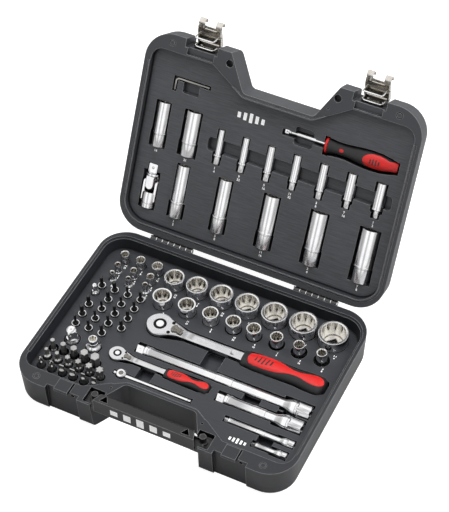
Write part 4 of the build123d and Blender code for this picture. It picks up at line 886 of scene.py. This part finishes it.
lo, hi = box_mm("bit_holder")
(cx, cy, _), h = middle(lo, hi), hi.z - lo.z
sh = Shell()
lathe(sh, Matrix.Translation((cx, cy, lo.z)),
      [(0, square(5.4)), (1.2, square(6.3)), (14.0, square(6.3)), (14.2, 8.8), (15.0, 10.3), (16.0, 10.5),
       (19.4, 10.5),
       (20.2, 10.1), (21.4, 8.2), (22.6, 6.9), (24, 6.4), (26.2, 6.4), (26.5, 5.9), (27.6, 5.9),
       (27.9, 6.4), (h - 0.8, 6.4),
       (h, 5.8), (h, 4.9), (h - 0.7, hexa(4.2)), (h - 12, hexa(4.2))], 72, mats=[0] * 17 + [1] * 2)
sh.make("bit_holder_detailed", [CHROME, INNER], "bit_holder", replaces=["bit_holder"], slot="tool_chrome")


# ---------------------------------------------------------------- loose bits
def bit_row(node, body, kind):
    sh = Shell()
    for i, (lo, hi) in enumerate(islands(node)):
        h = hi[2] - lo[2]
        if kind == "hex":
            a = (6.0, 7.2, 8.6, 10.0, 11.6, 7.0)[i % 6] / 2
            g = max(a, 4.0)
            cut_z = 12.0
            prof = [(0, hexa(g * 0.86)), (0.8, hexa(g)), (cut_z - 1.4, hexa(g)),
                    (cut_z - 0.4, both(hexa(g), g * 1.02)),
                    (cut_z, both(hexa(a * 1.1), g)), (cut_z + 0.6, hexa(a)), (h - 0.7, hexa(a)),
                    (h, both(hexa(a * 0.92), a))]
        elif kind == "star":
            r = 3.0 + 0.5 * (i % 6)

            def lobes(t, r=r):
                return r * (0.86 + 0.14 * math.cos(6 * t))
            prof = [(0, hexa(4.3)), (0.8, hexa(5.0)), (16.6, hexa(5.0)), (17.6, both(hexa(5.0), 5.05)),
                    (18.6, r * 1.02 if r < 4.6 else 4.7),
                    (19.2, lobes), (h - 0.5, lobes), (h, lambda t, r=r: lobes(t, r) * 0.86)]
        else:
            w = (6.0 + 0.7 * (i % 4)) / 2

            def blade(t, w=w, cross=i < 2):
                c, d = abs(math.cos(t)), abs(math.sin(t))
                one = min(w / max(c, 1e-3), 0.8 / max(d, 1e-3))
                two = min(0.8 / max(c, 1e-3), w / max(d, 1e-3))
                return max(one, two) if cross else one
            prof = [(0, hexa(4.3)), (0.8, hexa(5.0)), (15.6, hexa(5.0)), (16.6, both(hexa(5.0), 5.05)),
                    (19, 4.4), (22, w + 0.25),
                    (23.2, blade), (h - 1.6, blade), (h, lambda t: blade(t) * (0.55 if i < 2 else 0.92))]
        lathe(sh, upright(lo, hi), prof, 72)
    sh.make(node + "_detailed", [MAT["bit_steel"]], body, replaces=[node], slot="bit_steel")


bit_row("hex_bits", "hex_bits", "hex")
bit_row("star_bits", "star_bits", "star")
bit_row("cross_and_slot_bits", "cross_and_slot_bits", "blade")

# bit sockets: dark collars with a bright lip, and black bits
co_sh, ti_sh = Shell(), Shell()
for lo, hi in islands("bit_socket_collars"):
    h, r = hi[2] - lo[2], (hi[0] - lo[0]) / 2
    lathe(co_sh, upright(lo, hi), [(0, r * 0.92), (0.6, r), (h - 0.6, r), (h - 0.1, r - 0.25), (h, r - 0.7),
                                   (h - 0.15, r - 1.15),
                     (h - 1.2, r - 1.3), (h - 1.4, 3.5), (h - 3, 3.45)], 48, mats=[0, 0, 2, 2, 2, 1, 1, 1])
for i, (lo, hi) in enumerate(islands("bit_socket_tips")):
    h = hi[2] - lo[2]
    a = (1.7, 2.0, 2.3, 2.6)[i % 4]

    def lobes(t, a=a, i=i):
        return a * (1 / math.cos((t % (math.pi / 3)) - math.pi / 6) if i % 3 == 0 else 0.95
                    + 0.13 * math.cos(6 * t))
    lathe(ti_sh, upright(lo, hi),
          [(0, 3.2), (11.0, 3.2), (12.0, 3.0), (12.6, 2.6), (14.0, a + 0.2), (14.8, lobes), (h - 0.4, lobes),
           (h, lambda t: lobes(t) * 0.85)], 36)
co_sh.make("bit_socket_collars_detailed", [MAT["bit_collar"], MAT["bit_black"], CHROME], "bit_sockets",
           replaces=["bit_socket_collars"],
           slot="tool_chrome")
ti_sh.make("bit_socket_tips_detailed", [MAT["bit_black"]], "bit_sockets", replaces=["bit_socket_tips"],
           slot="bit_steel")


# ---------------------------------------------------------------- universal joint (closed frame)
def plate(sh, outline, m, t0, t1, bev=0.5, mat=0):
    """A flat outline (u, v) between heights t0 and t1 with eased edges, placed by m."""
    def inset(k):
        cu = sum(p[0] for p in outline) / len(outline)
        cv = sum(p[1] for p in outline) / len(outline)
        ru = max(abs(p[0] - cu) for p in outline)
        rv = max(abs(p[1] - cv) for p in outline)
        return [(cu + (p[0] - cu) * (1 - k / ru), cv + (p[1] - cv) * (1 - k / rv)) for p in outline]
    start = len(sh.verts)
    rings = [[(u, v, z) for u, v in inset(k)] for k, z in ((bev, t0), (0, t0 + bev), (0, t1 - bev),
                                                           (bev, t1))]
    sh.loft(rings, mat)
    sh.transform(m, start)


def tongue(w, y0, y1, n=12):
    """Strap from y0, ending in a half round about y1."""
    pts = [(-w, y0), (w, y0)]
    s = 1 if y1 > y0 else -1
    arc = [(w * math.cos(math.pi * i / n), y1 + s * w * math.sin(math.pi * i / n)) for i in range(n + 1)]
    return pts + arc


ylo, yhi = islands("joint_socket_yoke", True)[0]
dlo = islands("joint_drive_yoke", True)[0][0]
cx, cy, cz = middle(*islands("joint_cross", True)[0])
R = (yhi[0] - ylo[0]) / 2
back_y = Matrix.Rotation(math.pi / 2, 4, "X")
sh = Shell()
L = yhi[1] - cy
lathe(sh, Matrix.Translation((cx, yhi[1], cz)) @ back_y,
      [(14, square(6.4)), (1.0, square(6.4)), (0, 8.2), (0, R - 0.9), (0.9, R - 0.1), (7, R - 0.1),
       (7.3, R - 0.9), (8.4, R - 0.9),
       (8.7, R - 0.1), (L - 14, R - 0.1), (L - 11.6, R - 1.4), (L - 10.4, R - 4.6)], 64)
for s in (-1, 1):
    m = Matrix.Translation((cx + s * 8.9, cy, cz)) @ Matrix.Rotation(math.pi / 2, 4, "Y")
    plate(sh, tongue(7.2, L - 11, 0), m, -2.0, 2.0, 0.7)
sh.make("joint_socket_yoke_detailed", [CHROME], "universal_joint", True, ["joint_socket_yoke"], "tool_chrome")
sh = Shell()
D = cy - dlo[1]
fwd_y = Matrix.Rotation(-math.pi / 2, 4, "X")
lathe(sh, Matrix.Translation((cx, dlo[1], cz)) @ fwd_y,
      [(0, flat(5.3)), (1.2, flat(6.3)), (12.6, flat(6.3)), (13.0, both(flat(6.4), 7.8)), (13.6, R - 2.0),
       (14.4, R - 0.5),
       (16.6, R - 0.3), (18.2, R - 1.2), (19.4, R - 4.8)], 64)
for s in (-1, 1):
    m = Matrix.Translation((cx, cy, cz + s * 8.9))
    plate(sh, tongue(6.0, -(D - 18.5), 0), m, -2.0, 2.0, 0.7)
ball(sh, (cx, dlo[1] + 6.2, cz - 6.2), 1.9, down=True)
sh.make("joint_drive_yoke_detailed", [CHROME], "joint_head", True, ["joint_drive_yoke"], "tool_chrome")
sh = Shell()
for rot in (Matrix.Identity(4), Matrix.Rotation(math.pi / 2, 4, "Y")):
    lathe(sh, Matrix.Translation((cx, cy, cz)) @ rot,
          [(-10.4, 1.4), (-10.4, 2.2), (-9.9, 2.9), (9.9, 2.9), (10.4, 2.2), (10.4, 1.4)], 32)
lathe(sh, Matrix.Translation((cx, cy, cz)), [(-5.6, 3.4), (-4.9, both(square(5.4), 6.4)),
                                             (4.9, both(square(5.4), 6.4)), (5.6, 3.4)], 48)
sh.make("joint_cross_detailed", [MAT["lever_steel"]], "joint_head", True, ["joint_cross"], "tool_chrome")

# ---------------------------------------------------------------- spinner handle (closed frame)
slo, shi = islands("spinner_shaft", True)[0]
glo, ghi = islands("spinner_grip", True)[0]
klo = islands("spinner_collar", True)[0][0]
_, sy, sz = middle(slo, shi)
sh = Shell()
ls = shi[0] - slo[0]
lathe(sh, along_x((slo[0], sy, sz)),
      [(0, flat(2.65)), (0.8, flat(3.15)), (6.2, flat(3.15)), (6.6, 3.4), (7.2, 4.2), (9.2, 4.2),
       (9.6, 3.5), (11, 3.4),
       (ls - 16, 3.4), (ls - 12, 3.4), (ls, 3.4)], 40)
ball(sh, (slo[0] + 3.6, sy, sz - 3.1), 1.1, down=True)
sh.make("spinner_shaft_detailed", [CHROME], "spinner", True, ["spinner_shaft"], "tool_chrome")
sh = Shell()
lathe(sh, along_x((klo[0], sy, sz)), [(-0.6, 3.6), (-0.6, 9.8), (0, 11.4), (1.0, 12.3), (2.4, 12.5),
                                      (3.4, 11.9), (3.9, 10.8),
                                     (3.9, 3.6)], 72)
sh.make("spinner_collar_detailed", [MAT["red_plastic"]], "spinner", True, ["spinner_collar"], "red_plastic")
gl = ghi[0] - glo[0]
GR = smooth_through([(0, 11.2), (4, 11.0), (14, 9.6), (26, 9.6), (44, 11.6), (60, 12.8), (74, 12.6),
                     (86, 11.0), (94, 9.3),
                 (98, 8.2), (100, 7.0)])


def spin_r(s, t):
    """Grip radius at distance s and angle t; flattened and lobed a little."""
    lob = 1 - 0.03 * math.cos(3 * t) if 10 < s < 90 else 1.0
    return GR(s * 100 / gl) * lob


sh = Shell()
st = [0, 1.5, 4] + list(range(8, 93, 4)) + [95, 97.5, 99.3]
rings = []
for s in st:
    d = s * gl / 100
    rings.append([(glo[0] + d, sy + spin_r(s, 2 * math.pi * j / 72) * math.cos(2 * math.pi * j / 72),
                   sz + spin_r(s, 2 * math.pi * j / 72) * math.sin(2 * math.pi * j / 72)) for j in range(72)])
rings.append([(glo[0] + gl, sy + (p[1] - sy) * 0.7, sz + (p[2] - sz) * 0.7) for p in rings[-1]])
sh.loft(rings)
sh.make("spinner_soft_grip", [MAT["grip_rubber"]], "spinner", True, ["spinner_grip"], "grip_rubber", 50)


def wrap_patch(name, stations, lift, mat, slot, replaces=(), m=14):
    """Raised patch on the grip's outward side: stations (distance, half width in degrees of arc)."""
    sh = Shell()
    rings = []
    for s, half in stations:
        a0 = math.radians(half)
        top, under = [], []
        for i in range(m + 1):
            t = -math.pi / 2 - a0 + 2 * a0 * i / m
            r = spin_r(s, t)
            e = lift * (0.3 if i in (0, m) else 1.0)
            top.append((glo[0] + s * gl / 100, sy + (r + e) * math.cos(t), sz + (r + e) * math.sin(t)))
            under.append((glo[0] + s * gl / 100, sy + (r - 1.2) * math.cos(t), sz + (r - 1.2) * math.sin(t)))
        rings.append(top + list(reversed(under)))
    sh.loft(rings)
    return sh.make(name, [mat], "spinner", True, replaces, slot, 50)


wrap_patch("spinner_red_badge", [(51, 3), (51.6, 14), (53, 24), (56, 36), (60, 44), (66, 50), (72, 51),
                                 (78, 48), (83, 42),
                                 (87, 38), (91, 42), (94, 52), (97, 62), (99.0, 66)], 0.35,
           MAT["red_plastic"], "red_plastic", ["spinner_badge"])
wrap_patch("spinner_neck_mark", [(17, 4), (17.6, 12), (20, 16), (22.4, 12), (23, 4)], 0.15,
           MAT["red_plastic"], "red_plastic")
for i, s in enumerate((62, 66, 70, 74)):
    half = (14, 20, 20, 14)[i]
    wrap_patch("spinner_badge_bar_%d" % (i + 1), [(s - 0.9, half), (s + 0.9, half)], 0.50, MAT["mark_dark"],
               "grip_rubber")

# ---------------------------------------------------------------- latches (closed frame, then swung out)
def strip(sh, path, x0, x1, th, mat=0):
    """Sheet strip of thickness th: path of (y, z) points, between x0 and x1."""
    rings = []
    for i, (y, z) in enumerate(path):
        a = path[max(i - 1, 0)]
        b = path[min(i + 1, len(path) - 1)]
        d = math.hypot(b[0] - a[0], b[1] - a[1]) or 1.0
        ny, nz = (b[1] - a[1]) / d * th / 2, -(b[0] - a[0]) / d * th / 2
        rings.append([(x0, y + ny, z + nz), (x1, y + ny, z + nz), (x1, y - ny, z - nz), (x0, y - ny, z - nz)])
    sh.loft(rings, mat)


def tube(sh, pts, r, mat=0, n=12):
    rings = []
    for i, p in enumerate(pts):
        d = (Vector(pts[min(i + 1, len(pts) - 1)]) - Vector(pts[max(i - 1, 0)])).normalized()
        side = d.cross(Vector((0, 1, 0.2))).normalized()
        up = side.cross(d)
        rings.append([tuple(Vector(p) + side * (r * math.cos(2 * math.pi * j / n))
                            + up * (r * math.sin(2 * math.pi * j / n)))
                      for j in range(n)])
    sh.loft(rings, mat)


def bowed(x0, x1, y0, z0, y1, z1, c, n=5):
    """U of wire: down from (x0, y0, z0) to the bar at (y1, z1) and up at x1, with rounded corners."""
    pts = [(x0, y0, z0)]
    f = c / math.hypot(y1 - y0, z1 - z0)
    ya, za = y1 + (y0 - y1) * f, z1 + (z0 - z1) * f
    for i in range(n + 1):
        t = math.pi / 2 * i / n
        g = 1 - math.sin(t)
        pts.append((x0 + c * (1 - math.cos(t)), y1 + (ya - y1) * g, z1 + (za - z1) * g))
    for i in range(n + 1):
        t = math.pi / 2 * i / n
        g = 1 - math.cos(t)
        pts.append((x1 - c + c * math.sin(t), y1 + (ya - y1) * g, z1 + (za - z1) * g))
    return pts + [(x1, y0, z0)]


def about_x(p, deg):
    return Matrix.Translation(p) @ Matrix.Rotation(math.radians(deg), 4, "X") @ Matrix.Translation(-Vector(p))


for side in ("left", "right"):
    lev = CLOSED @ Vector(JOINTS[side + "_latch_lever"]["pos_m"]) * 1000
    swing = abs(JOINTS[side + "_latch_lever"]["range_deg"][0])
    hook = abs(JOINTS[side + "_latch_bail"]["range_deg"][0])
    blo, bhi = islands(side + "_latch_bracket", True)[0]
    lx, py, pz = (blo[0] + bhi[0]) / 2, lev.y, lev.z
    out = about_x((0, py, pz), -swing)
    bail_p = out.inverted() @ (CLOSED @ Vector(JOINTS[side + "_latch_bail"]["pos_m"]) * 1000)
    wall = bhi[1]
    sh = Shell()
    strip(sh, [(wall - 0.6, pz - 14), (wall - 0.6, pz + 4.5)], lx - 15.4, lx + 15.4, 1.2, 1)
    strip(sh, [(wall - 0.6, pz - 14), (wall - 1.2, pz - 15.2), (wall - 3.6, pz - 15.8)], lx - 15.4,
          lx + 15.4, 1.0, 1)
    strip(sh, [(wall - 0.3, pz + 3.9), (py - 2.4, pz + 3.9)], lx - 14.4, lx + 14.4, 1.0, 1)
    strip(sh, [(wall - 1.0, pz - 4.5), (wall - 2.8, pz - 7.5), (wall - 3.2, pz - 12.5)], lx - 5.5, lx + 7.5,
          1.0, 0)
    for s in (-1, 1):
        m = Matrix(((0, 0, 1, lx + s * 14.9), (1, 0, 0, 0), (0, 1, 0, 0), (0, 0, 0, 1)))
        plate(sh, [(wall - 0.3, pz - 10), (wall - 0.3, pz + 4.5), (py - 0.6, pz + 2.7),
                   (py - 2.6, pz + 0.8), (py - 2.4, pz - 1.6)],
              m, -0.6, 0.6, 0.2, 1)
        lathe(sh, Matrix.Translation((lx + s * 10.5, wall - 1.2, pz - 1.5)) @ Matrix.Rotation(math.pi / 2,
                                                                                              4, "X"),
              [(0, 2.4), (0.5, 2.3), (1.1, 1.7), (1.3, 0.8)], 24, 0)
    tube(sh, bowed(lx - 14.2, lx + 14.2, py + 1.4, pz - 8, wall - 3.4, pz - 19.4, 4.5), 0.95, 2)
    sh.make(side + "_latch_bracket_detailed", [MAT["latch_nickel"], MAT["latch_dark"], MAT["latch_wire"]],
            "lid", True,
            [side + "_latch_bracket"], "latch_nickel")
    sh = Shell()
    web = py - 6.0
    strip(sh, [(web, pz + 3), (web, pz - 12), (web, pz - 25.5)], lx - 16.6, lx + 16.6, 1.1)
    plate(sh, [(lx - 9, pz - 21), (lx + 9, pz - 21), (lx + 9, pz - 9), (lx - 9, pz - 9)],
          Matrix(((1, 0, 0, 0), (0, 0, 1, web), (0, 1, 0, 0), (0, 0, 0, 1))), 0.3, 1.3, 0.5)
    for s in (-1, 1):
        m = Matrix(((0, 0, 1, lx + s * 16.5), (1, 0, 0, 0), (0, 1, 0, 0), (0, 0, 0, 1)))
        plate(sh, [(web - 0.4, pz + 3.2), (web - 0.4, pz - 26), (web + 2.6, pz - 26), (web + 5.8, pz - 20),
                   (web + 5.8, pz - 12),
                   (py + 2.6, pz - 1.6), (py + 2.6, pz + 1.6), (py + 1, pz + 3.0)], m, -0.5, 0.5, 0.2)
        cy, r = web - 4.4, 4.4
        curl = [(web, pz - 25)] + [(cy + r * math.cos(a), pz - 27.5 - r * math.sin(a))
                                   for a in [math.radians(v) for v in range(0, 236, 15)]]
        strip(sh, curl, lx + s * 12.5 - 4.6, lx + s * 12.5 + 4.6, 1.0)
    sh.transform(out)
    sh.make(side + "_latch_lever_detailed", [MAT["latch_nickel"]], side + "_lever", True,
            [side + "_latch_lever"],
            "latch_nickel")
    sh = Shell()
    tube(sh, bowed(lx - 13.6, lx + 13.6, bail_p.y, bail_p.z, bail_p.y + 0.7, bail_p.z - 17.7, 2.2), 1.05)
    tube(sh, [(lx - 17.4, bail_p.y, bail_p.z), (lx - 12, bail_p.y, bail_p.z), (lx + 12, bail_p.y, bail_p.z),
              (lx + 17.4, bail_p.y, bail_p.z)], 0.9, 1)
    sh.transform(out @ about_x(tuple(bail_p), hook))
    sh.make(side + "_latch_bail_detailed", [MAT["latch_wire"], MAT["latch_dark"]], side + "_bail", True,
            [side + "_latch_bail"], "latch_nickel")

# ---------------------------------------------------------------- hex key (closed frame)
klo, khi = islands("hex_key", True)[0]
kr = 2.0
kz = (klo[2] + khi[2]) / 2
x0, y0 = klo[0] + kr, klo[1] + kr
bend = 4.5
path = [(khi[0], y0, 0.0), (khi[0] - 1, y0, 0.0), (x0 + bend, y0, 0.0)]
path += [(x0 + bend - bend * math.sin(a), y0 + bend - bend * math.cos(a), a) for a in [math.pi / 2 * i / 8
                                                                                       for i in range(1, 9)]]
path += [(x0, khi[1] - 1, math.pi / 2), (x0, khi[1], math.pi / 2)]
sh = Shell()
rings = []
for i, (x, y, a) in enumerate(path):
    f = 0.78 if i in (0, len(path) - 1) else 1.0
    ring = []
    for j in range(6):
        t = math.pi / 3 * j
        u, w = kr * f * math.cos(t), kr * f * math.sin(t)
        ring.append((x + u * math.sin(a), y + u * math.cos(a), kz + w))
    rings.append(ring)
sh.loft(rings)
sh.make("hex_key_detailed", [MAT["key_steel"]], "hex_key", True, ["hex_key"], "bit_steel", 25)


# ---------------------------------------------------------------- painted shade: a dark strip along the real joint round each tray, standing in for the shadow in its gap
def shade_tray_gap(node, body, level, lid):
    bm = bmesh.new()
    bm.from_mesh(NODES[node].data)
    bmesh.ops.remove_doubles(bm, verts=bm.verts, dist=2e-6)
    bm.transform(NODES[node].matrix_world)
    if lid:
        bm.transform(CLOSED)
    bm.normal_update()
    side = {}
    for e in bm.edges:
        if len(e.link_faces) == 2 and all(abs(v.co.z * 1000 - level) < 0.05 for v in e.verts):
            flat_n = sorted(abs(f.normal.z) for f in e.link_faces)
            if flat_n[0] < 0.4 and flat_n[1] > 0.9:
                a, b = (tuple(round(c * 1000, 3) for c in v.co) for v in e.verts)
                side.setdefault(a, []).append(b)
                side.setdefault(b, []).append(a)
    bm.free()
    loops, seen = [], set()
    for p in side:
        if p in seen:
            continue
        loop, q = [p], p
        seen.add(p)
        while True:
            step = [r for r in side[q] if r not in seen]
            if not step:
                break
            q = step[0]
            seen.add(q)
            loop.append(q)
        loops.append(loop)
    if not loops:
        return
    loop = max(loops, key=lambda lp: max(p[0] for p in lp) - min(p[0] for p in lp))
    sh = Shell()
    rings = []
    n = len(loop)
    for i, p in enumerate(loop):
        d = Vector(loop[(i + 1) % n]) - Vector(loop[i - 1])
        side_v = Vector((-d.y, d.x, 0)).normalized()
        rings.append([tuple(Vector(p) + side_v * (0.8 * math.cos(t)) + Vector((0, 0, 0.35 * math.sin(t))))
                      for t in [math.pi / 4 * j for j in range(8)]])
    sh.loft(rings, loop=True)
    sh.make(node + "_gap_shadow_strip", [MAT["grip_rubber"]], body, lid, (), "tray_plastic")


shade_tray_gap("lid_tray", "lid", level=57.5, lid=True)
shade_tray_gap("base_tray", "case", level=28.5, lid=False)

# ---------------------------------------------------------------- hinge pin heads and barrel rings
KNUCKLES = 7
sh = Shell()
for lo, hi in islands("hinge_pins"):
    _, py, pz = middle(lo, hi)
    for i in range(KNUCKLES + 1):
        x = lo[0] + (hi[0] - lo[0]) * i / KNUCKLES
        lathe(sh, along_x((x - 0.7, py, pz)), [(0, 1.6), (0, 3.0), (0.25, 3.35), (1.15, 3.35), (1.4, 3.0),
                                               (1.4, 1.6)], 32)
sh.make("hinge_barrel_rings", [CHROME], "case", slot="hinge_steel")


# ---------------------------------------------------------------- size numbers and plain marks
def letters(name, items, body, lid=False, z=0.0, size=3.6):
    """items: (text lines, x, y); flat raised figures lying on the tray."""
    parts = []
    for lines, x, y in items:
        for k, line in enumerate(lines):
            cu = bpy.data.curves.new("figures", "FONT")
            cu.body = line
            cu.size = size
            cu.align_x = "CENTER"
            cu.align_y = "CENTER"
            cu.extrude = 0.06
            cu.offset = 0.10
            cu.resolution_u = 2
            o = link("figures", cu)
            bpy.context.view_layer.update()
            me = bpy.data.meshes.new_from_object(o.evaluated_get(bpy.context.evaluated_depsgraph_get()))
            spot = Matrix.Translation((x, y - k * size * 1.02, z))
            if lid:
                spot = Matrix.Translation((x, y + k * size * 1.02, z)) @ Matrix.Rotation(math.pi, 4, "X")
            me.transform(Matrix.Scale(MM, 4) @ spot)
            parts.append(me)
            bpy.data.objects.remove(o)
            bpy.data.curves.remove(cu)
    bm = bmesh.new()
    for me in parts:
        bm.from_mesh(me)
    bmesh.ops.remove_doubles(bm, verts=bm.verts, dist=1e-6)
    out = bpy.data.meshes.new(name)
    bm.to_mesh(out)
    bm.free()
    out.materials.append(MAT["mark_white"])
    if lid:
        out.transform(OPENED)
    o = link(name, out)
    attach(o, body)


def centre(g):
    return (float(g[0][0] + g[1][0]) / 2, float(g[0][1] + g[1][1]) / 2, float(g[1][0] - g[0][0]) / 2)


base_z = max(v[2] for v in coords("base_tray")) * 1000
tray_closed = coords("lid_tray") @ np.array(CLOSED)[:3, :3].T + np.array(CLOSED)[:3, 3]
lid_z = float(tray_closed[:, 2].min()) * 1000
items = []
for node, names in (
        ("half_inch_sockets_back_row", ["13/16", "7/8", "15/16", "1", "1-1/16", "1-1/8", "1-1/4"]),
        ("half_inch_sockets_front_row", ["3/4", "11/16", "5/8", "19/32", "9/16", "1/2", "7/16", "3/8"]),
        ("quarter_inch_sockets", ["5/32", "3/16", "7/32", "1/4", "9/32", "5/16", "11/32", "3/8", "7/16"])):
    for g, text in zip(islands(node), names):
        x, y, r = centre(g)
        items.append((text.split("/"), x + r * 0.55 + 1.5, y - r - (2.6 if node[0] == "h" else 1.9)))
letters("base_size_numbers", items, "case", z=base_z + 0.06, size=3.8)
items = []
for node, names in (("half_inch_deep_sockets", ["1/2", "5/8", "11/16", "3/4", "7/8"]),
                    ("spark_plug_sockets", ["16", "21"]),
                    ("quarter_inch_deep_sockets", ["1/4", "9/32", "5/16", "11/32", "3/8", "7/16", "1/2"])):
    for g, text in zip(islands(node, True), names):
        x, y, r = centre(g)
        items.append((text.split("/"), x, float(g[1][1]) + 6.0))
letters("lid_size_numbers", items, "lid", True, lid_z - 0.06, 4.8)


def plain_mark(name, body, x, y, z, k, lid=False):
    """Five plain bars of differing length, in place of lettering."""
    sh = Shell()
    for i, half in enumerate((3.4, 4.6, 5.8, 4.6, 3.4)):
        u = (i - 2) * 4.6 * k
        w = 1.25 * k
        pts = [(x + u - w, y - half * k * 0.6), (x + u + w, y - half * k * 0.6),
               (x + u + w, y + half * k * 0.6),
               (x + u - w, y + half * k * 0.6)]
        z0, z1 = (z - 0.12, z) if lid else (z, z + 0.12)
        sh.loft([[(p[0], p[1], z0) for p in pts], [(p[0], p[1], z1) for p in pts]])
    return sh.make(name, [MAT["mark_white"]], body, lid, (), "tray_plastic")


plain_mark("lid_tray_mark", "lid", -36, -62, lid_z, 1.9, True)
plain_mark("base_tray_mark", "case", 112, -100, base_z, 1.15)
# rounded ends that carry the handle into the lugs
hlo, hhi = box_mm("handle")
sh = Shell()
for s in (-1, 1):
    start = len(sh.verts)
    plate(sh, [(-8, -8), (8, -8), (8, 8), (-8, 8)], Matrix.Translation((s * 74, hlo.y + 9.4, 0)), hlo.z - 4,
          hlo.z + 5.4, 1.2)
    lathe(sh, Matrix.Translation((s * 79, hlo.y + 14.6, hlo.z)), [(0, 5.6), (5.8, 5.6), (6.4, 5.0),
                                                                  (6.4, 3.2), (5.2, 2.8), (5.2, 1.0)], 32)
# dark webs that close the gap between the bar's ends and the lugs
for s in (-1, 1):
    plate(sh, [(s * 64.5, hlo.z - 4), (s * 80.4, hlo.z - 4), (s * 80.4, hlo.z + 6), (s * 72, hlo.z + 8.6),
               (s * 64.5, hlo.z + 8.6)][::s],
          Matrix(((1, 0, 0, 0), (0, 0, 1, -128.6), (0, 1, 0, 0), (0, 0, 0, 1))), 0, 1.6, 0.3)
sh.make("handle_ends", [MAT["handle_plastic"]], "case", slot="handle_plastic")
# the same bars, larger, standing on the handle's front
sh = Shell()
for i, half in enumerate((4.6, 6.2, 7.6, 6.2, 4.6)):
    u = (i - 2) * 19.0 - 4
    w = 5.2
    zc = hhi.z - 11.6
    pts = [(u - w, zc - half), (u + w, zc - half), (u + w, zc + half), (u - w, zc + half)]
    sh.loft([[(p[0], hlo.y - 0.25, p[1]) for p in pts], [(p[0], hlo.y + 0.8, p[1]) for p in pts]])
sh.make("handle_front_bars", [MAT["mark_white"]], "case", slot="handle_plastic")

# ---------------------------------------------------------------- camera
CAMERA_AT = (0.694, -1.2433, 1.8557)
LENS = 139.48
AZ, EL, ROLL = math.radians(27.414), math.radians(48.845), math.radians(-1.582)
back = Vector((math.sin(AZ) * math.cos(EL), -math.cos(AZ) * math.cos(EL), math.sin(EL)))
right = Vector((math.cos(AZ), math.sin(AZ), 0))
up = back.cross(right)
r2 = right * math.cos(ROLL) + up * math.sin(ROLL)
u2 = up * math.cos(ROLL) - right * math.sin(ROLL)
cam = link("camera", bpy.data.cameras.new("camera"))
cam.matrix_world = Matrix.Translation(CAMERA_AT) @ Matrix((r2, u2, back)).transposed().to_4x4()
cam.data.sensor_fit = "HORIZONTAL"
cam.data.sensor_width = 36
cam.data.lens = LENS
cam.data.clip_end = 50
scene.camera = cam

# ---------------------------------------------------------------- floor and light
def scaled(nt, value, factor, offset):
    """value * factor + offset"""
    n = add(nt, "ShaderNodeMath", operation="MULTIPLY_ADD")
    n.inputs[1].default_value = factor
    n.inputs[2].default_value = offset
    nt.links.new(value, n.inputs[0])
    return n.outputs[0]


bpy.ops.mesh.primitive_plane_add(size=24, location=(0, 0, -0.0002))
floor = bpy.context.object
floor.name = "floor"
fm, fnt, fb = new_material("floor_paper")
fb.inputs["Base Color"].default_value = (0.55, 0.55, 0.55, 1)
fb.inputs["Roughness"].default_value = 0.9
fb.inputs["Specular IOR Level"].default_value = 0.1
fb.inputs["Emission Color"].default_value = (1, 1, 1, 1)
seen = fnt.nodes.new("ShaderNodeLightPath")
fnt.links.new(scaled(fnt, seen.outputs["Is Camera Ray"], 0.80, 0.06), fb.inputs["Emission Strength"])
floor.data.materials.append(fm)

world = bpy.data.worlds.new("studio")
scene.world = world
world.use_nodes = True
wt = world.node_tree
sky = wt.nodes["Background"].inputs
path_kind = wt.nodes.new("ShaderNodeLightPath")
wt.links.new(scaled(wt, path_kind.outputs["Is Glossy Ray"], 1.05, 0.25), sky[1])
where = wt.nodes.new("ShaderNodeTexCoord")
split = wt.nodes.new("ShaderNodeSeparateXYZ")
wt.links.new(where.outputs["Generated"], split.inputs[0])
bands = ramp(wt, scaled(wt, split.outputs[0], 0.5, 0.5), [(0.0, (0.35,) * 3), (0.14, (0.45,) * 3),
                                                          (0.22, (1.0,) * 3), (0.38, (1.0,) * 3),
                                   (0.43, (0.5,) * 3), (0.52, (0.5,) * 3), (0.58, (1.0,) * 3),
                                                          (0.80, (1.0,) * 3),
                                   (0.88, (0.5,) * 3), (1.0, (0.4,) * 3)])
wt.links.new(bands.outputs[0], sky[0])


def area(name, loc, target, size, power):
    light = bpy.data.lights.new(name, "AREA")
    light.shape = "RECTANGLE"
    light.size = size
    light.size_y = size
    light.energy = power
    o = link(name, light)
    o.location = loc
    o.rotation_euler = (Vector(target) - Vector(loc)).to_track_quat("-Z", "Y").to_euler()
    o.visible_glossy = False


area("key", (1.5, 0.7, 1.7), (0, 0.05, 0.05), 1.1, 40)
area("top", (-0.2, 0.1, 2.6), (0, 0.05, 0.05), 1.9, 48)
area("fill", (-1.4, -1.5, 1.2), (0, 0, 0.05), 1.5, 3)
